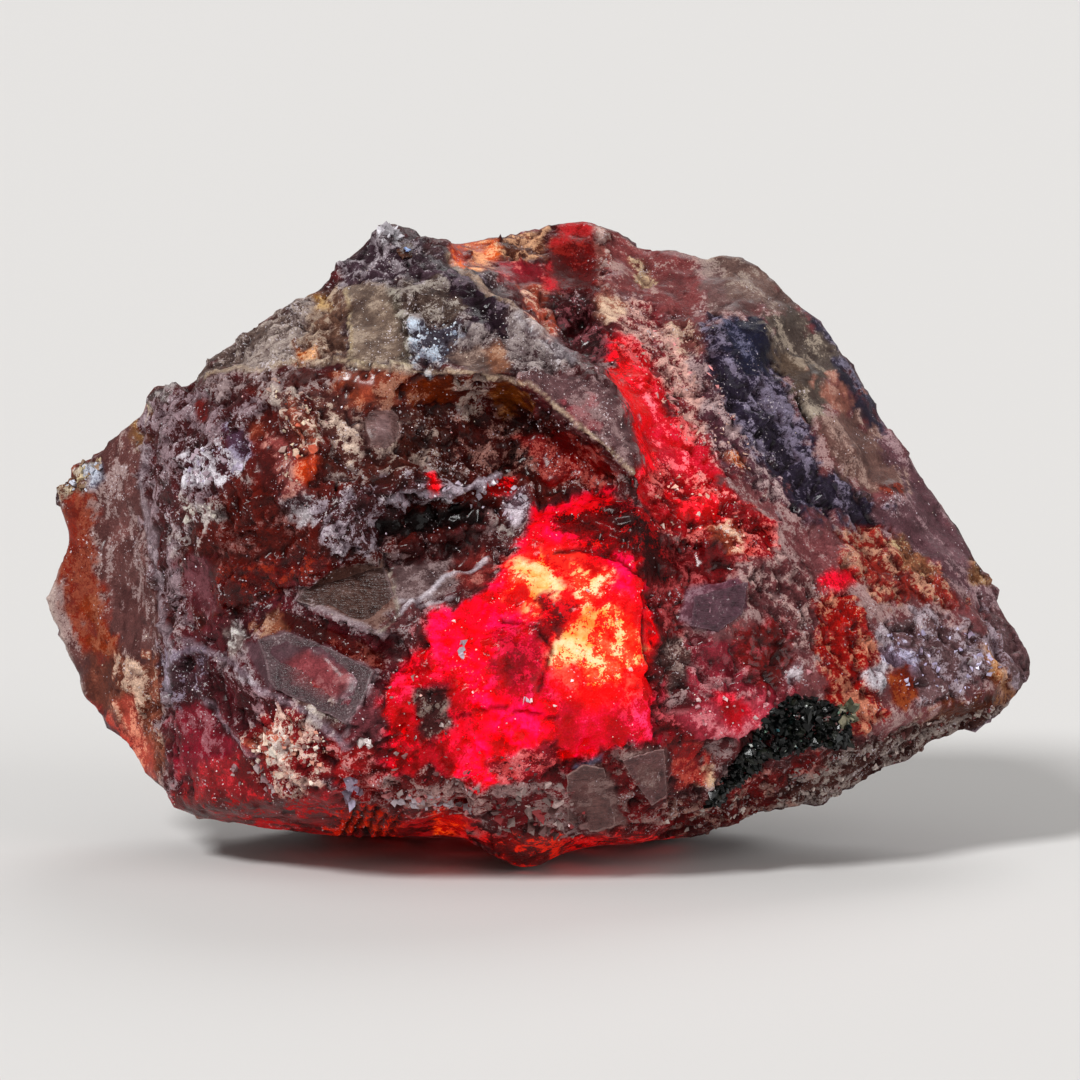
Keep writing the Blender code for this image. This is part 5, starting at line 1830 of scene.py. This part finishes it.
@dataclass(frozen=True)
class PlateFinish:
    """Smooth glassy cleavage: fine lines along one direction, faint clouds and a faint painted glow
    of its own colours.
    """

    name: str = "glassy_plates"
    line_mm: float = 0.07
    turn_deg: float = 35.0

    def made(self) -> bpy.types.Material:
        """Builds the material on the plates' own colours."""
        recipe = Recipe(self.name)
        turned = recipe.node("ShaderNodeMapping", Vector=recipe.place(), Scale=(0.12, 0.5, 1.0),
                             Rotation=(0.0, math.radians(self.turn_deg), 0.0))
        lines = recipe.node("ShaderNodeTexNoise", Vector=recipe.out(turned),
                            Scale=1.0 / (self.line_mm * MM), Detail=2.0, Roughness=0.6)
        line = recipe.out(lines, "Fac")
        cloud = recipe.noise(0.9, 4.0, 0.65)
        tint = recipe.attribute("chip_colour", "Color")
        fine = recipe.noise(0.25, 3.0, 0.65)
        tone = (line - 0.5) * 1.6 + (cloud - 0.5) * 2.6 + (fine - 0.5) * 1.6
        shade = recipe.warm_shade((tone + 1.0).held(0.25, 2.4))
        colour = recipe.mixed(1.0, tint, shade, "MULTIPLY")
        flecks = (recipe.noise(0.10, 3.0, 0.6) + (cloud - 0.5) * 0.8).stepped(0.66, 0.72)
        dusted = recipe.mixed(flecks * 0.5, colour, (0.42, 0.34, 0.35, 1.0))
        roughness = ((cloud - 0.5) * 0.5 + flecks * 0.3 + 0.26).held(0.1, 0.8)
        # The plates' own colours are emitted faintly: painted glow
        return recipe.finish(Base_Color=dusted, Roughness=roughness, Coat_Weight=0.1,
                             Coat_Roughness=0.2, Specular_IOR_Level=0.2, Emission_Color=tint,
                             Emission_Strength=0.15,
                             Normal=recipe.bumped(line * 0.6 + cloud + fine * 0.7, 0.14, 0.7))


@dataclass
class Plates:
    """All the flat plates as one piece.

    Attributes:
        stone: what they stand on.
        finish: their material.
        sides: how many points each ring has.
        seed: which wander of their outlines.
        wander_px: how far a point of an outline moves.
        rings: each ring's share of the outline, its rise over the face in mm, and how much of
            the edge colour it has, or of the heart's where negative, from the middle outwards.
    """

    stone: Stone
    finish: PlateFinish = PlateFinish()
    sides: int = 48
    seed: int = 400
    wander_px: float = 0.5
    rings: tuple[tuple[float, float, float], ...] = (
        (0.0, 0.0, -1.0), (0.3, 0.0, -0.9), (0.55, 0.0, -0.3), (0.75, 0.0, 0.0), (0.94, 0.0, 0.1),
        (0.97, -0.01, 0.8), (1.0, -0.06, 0.6), (1.02, -0.9, 0.0))

    def outline(self, plate: Plate, seed: int) -> np.ndarray:
        """Walks round the corners at an even pace and lets the line wander a little."""
        corners = np.array(plate.corners + plate.corners[:1], dtype=float)
        reach = np.concatenate([[0.0], np.cumsum(np.linalg.norm(np.diff(corners, axis=0), axis=1))])
        paces = np.linspace(0.0, reach[-1], self.sides, endpoint=False)
        line = np.stack([np.interp(paces, reach, corners[:, axis]) for axis in range(2)], axis=1)
        return line + np.random.default_rng(seed).normal(0.0, self.wander_px, line.shape)

    def formed(self, plate: Plate, seed: int) -> Form:
        """Makes one plate: rings from its middle out, and a skirt that ends in the stone.

        The face is the plane depth = a x across + b x down + c that fits the stone's vertices
        inside the outline best, raised by the lift, and by crown (1 - share^2).

        Args:
            plate: which plate.
            seed: which wander of its outline.

        Returns:
            The points in metres, the triangles and each point's colour.
        """
        seen = self.stone.drawing.seen(self.stone.points)
        facing = self.stone.normals @ self.stone.drawing.toward_viewer > 0.1
        under = seen[facing & (inside_distance(seen[:, :2], plate.corners) > 0.0)]
        basis = np.column_stack([under[:, :2], np.ones(len(under))])
        slope = np.linalg.lstsq(basis, under[:, 2], rcond=None)[0]
        line = self.outline(plate, seed)
        middle = line.mean(axis=0)
        points, tints = [], []
        for share, rise, edge in self.rings:
            ring = middle + share * (line - middle)
            depth = ring @ slope[:2] + slope[2] + plate.lift_mm + rise
            depth = depth + plate.crown_mm * (1.0 - share * share)
            points.append(np.column_stack([ring, depth]))
            other = linear(plate.edge if edge > 0.0 else plate.heart)
            tint = linear(plate.colour) * (1.0 - abs(edge)) + other * abs(edge)
            tints.append(np.tile(tint, (self.sides, 1)))
        placed = self.stone.drawing.placed(np.vstack(points[1:] + [points[0][:1]]))
        placed[:, 2] = np.maximum(placed[:, 2], GROUND_GAP_M)
        step = np.arange(self.sides)
        after = (step + 1) % self.sides
        centre = (len(self.rings) - 1) * self.sides
        faces = [np.column_stack([np.full(self.sides, centre), after, step])]
        for row in range(len(self.rings) - 2):
            inner, outer = row * self.sides, (row + 1) * self.sides
            faces.append(np.column_stack([inner + step, inner + after, outer + after]))
            faces.append(np.column_stack([inner + step, outer + after, outer + step]))
        return placed, np.vstack(faces), np.vstack(tints[1:] + [tints[0][:1]])

    def build(self) -> bpy.types.Object:
        """Joins the plates in one mesh that rides the stone, closed at its hidden side."""
        forms = [self.formed(plate, self.seed + index) for index, plate in enumerate(PLATES)]
        mesh = coloured_mesh("plates", forms)
        closed = bmesh.new()
        closed.from_mesh(mesh)
        bmesh.ops.holes_fill(closed, edges=closed.edges, sides=0)
        bmesh.ops.recalc_face_normals(closed, faces=closed.faces)
        bmesh.ops.triangulate(closed, faces=[face for face in closed.faces if len(face.verts) > 4])
        closed.to_mesh(mesh)
        closed.free()
        mesh.shade_flat()
        return riding_piece(mesh, self.finish.made())


@dataclass
class Studio:
    """A pale floor, soft light and the camera at the drawing's angle.

    Attributes:
        drawing: what the camera sees.
        floor_m: the floor's width.
        sensor_mm: the width of the camera's sensor.
    """

    drawing: Drawing
    floor_m: float = 6.0
    sensor_mm: float = 36.0

    def build(self) -> None:
        """Makes the floor, world, lights and camera."""
        self.floor()
        self.world()
        self.sun("key", (-0.55, -0.75, 0.85), 2.7, 14.0)
        self.sun("fill", (0.8, -0.6, 0.45), 0.9, 40.0)
        self.sun("back", (0.2, 0.8, 0.7), 0.8, 30.0)
        self.camera()

    def floor(self) -> None:
        """Lays the floor under the stone."""
        half = self.floor_m / 2.0
        mesh = bpy.data.meshes.new("floor")
        corners = [(-half, -half, 0), (half, -half, 0), (half, half, 0), (-half, half, 0)]
        mesh.from_pydata(corners, [], [(0, 1, 2, 3)])
        floor = bpy.data.objects.new("floor", mesh)
        floor.location.z = -GROUND_GAP_M
        bpy.context.scene.collection.objects.link(floor)
        recipe = Recipe("pale_floor")
        mesh.materials.append(recipe.finish(Base_Color=(0.66, 0.65, 0.64, 1.0), Roughness=0.8))

    def world(self) -> None:
        """An even pale world."""
        world = bpy.data.worlds.new("studio")
        world.use_nodes = True
        light = world.node_tree.nodes["Background"]
        light.inputs["Color"].default_value = (1.0, 0.975, 0.95, 1.0)
        light.inputs["Strength"].default_value = 0.32
        bpy.context.scene.world = world

    def sun(self, name: str, toward: tuple[float, float, float], strength: float,
            width_deg: float) -> None:
        """Adds one soft lamp far away, as wide as the given angle."""
        light = bpy.data.lights.new(name, "SUN")
        light.energy = strength
        light.angle = math.radians(width_deg)
        lamp = bpy.data.objects.new(name, light)
        lamp.rotation_mode = "QUATERNION"
        lamp.rotation_quaternion = Vector(toward).to_track_quat("Z", "Y")
        bpy.context.scene.collection.objects.link(lamp)

    def camera(self) -> None:
        """Sets the camera where the drawing's rays meet."""
        drawing = self.drawing
        middle = drawing.size_px / 2.0
        aim = drawing.placed(np.array([[middle, middle, 0.0]]))[0]
        camera = bpy.data.cameras.new("camera")
        camera.sensor_width = self.sensor_mm
        camera.lens = self.sensor_mm * drawing.distance_mm / (drawing.size_px * drawing.mm_per_px)
        camera.clip_start, camera.clip_end = 0.01, 20.0
        viewer = bpy.data.objects.new("camera", camera)
        viewer.location = aim + drawing.toward_viewer * drawing.distance_mm * MM
        viewer.rotation_mode = "QUATERNION"
        viewer.rotation_quaternion = Vector(drawing.toward_viewer).to_track_quat("Z", "Y")
        bpy.context.scene.collection.objects.link(viewer)
        bpy.context.scene.camera = viewer
        bpy.context.scene.view_settings.view_transform = "Standard"


def main() -> None:
    """Builds the stone, its crystals, and the studio round it."""
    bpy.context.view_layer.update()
    drawing = Drawing()
    stone = Stone(drawing)
    stone.build()
    black = ChipFinish("black_druse", rough=0.24, coat=0.12, shine=0.25)
    bright = ChipFinish("sparkle_grains", rough=0.25)
    Scatter("druse", stone, DRUSE, black, 5).build()
    Scatter("chips", stone, CHIPS, ChipFinish("pale_chips"), 105).build()
    Scatter("sparkles", stone, GRAINS, bright, 205).build()
    Plates(stone).build()
    Studio(drawing).build()
    bpy.context.view_layer.update()


if __name__ == "__main__":
    main()
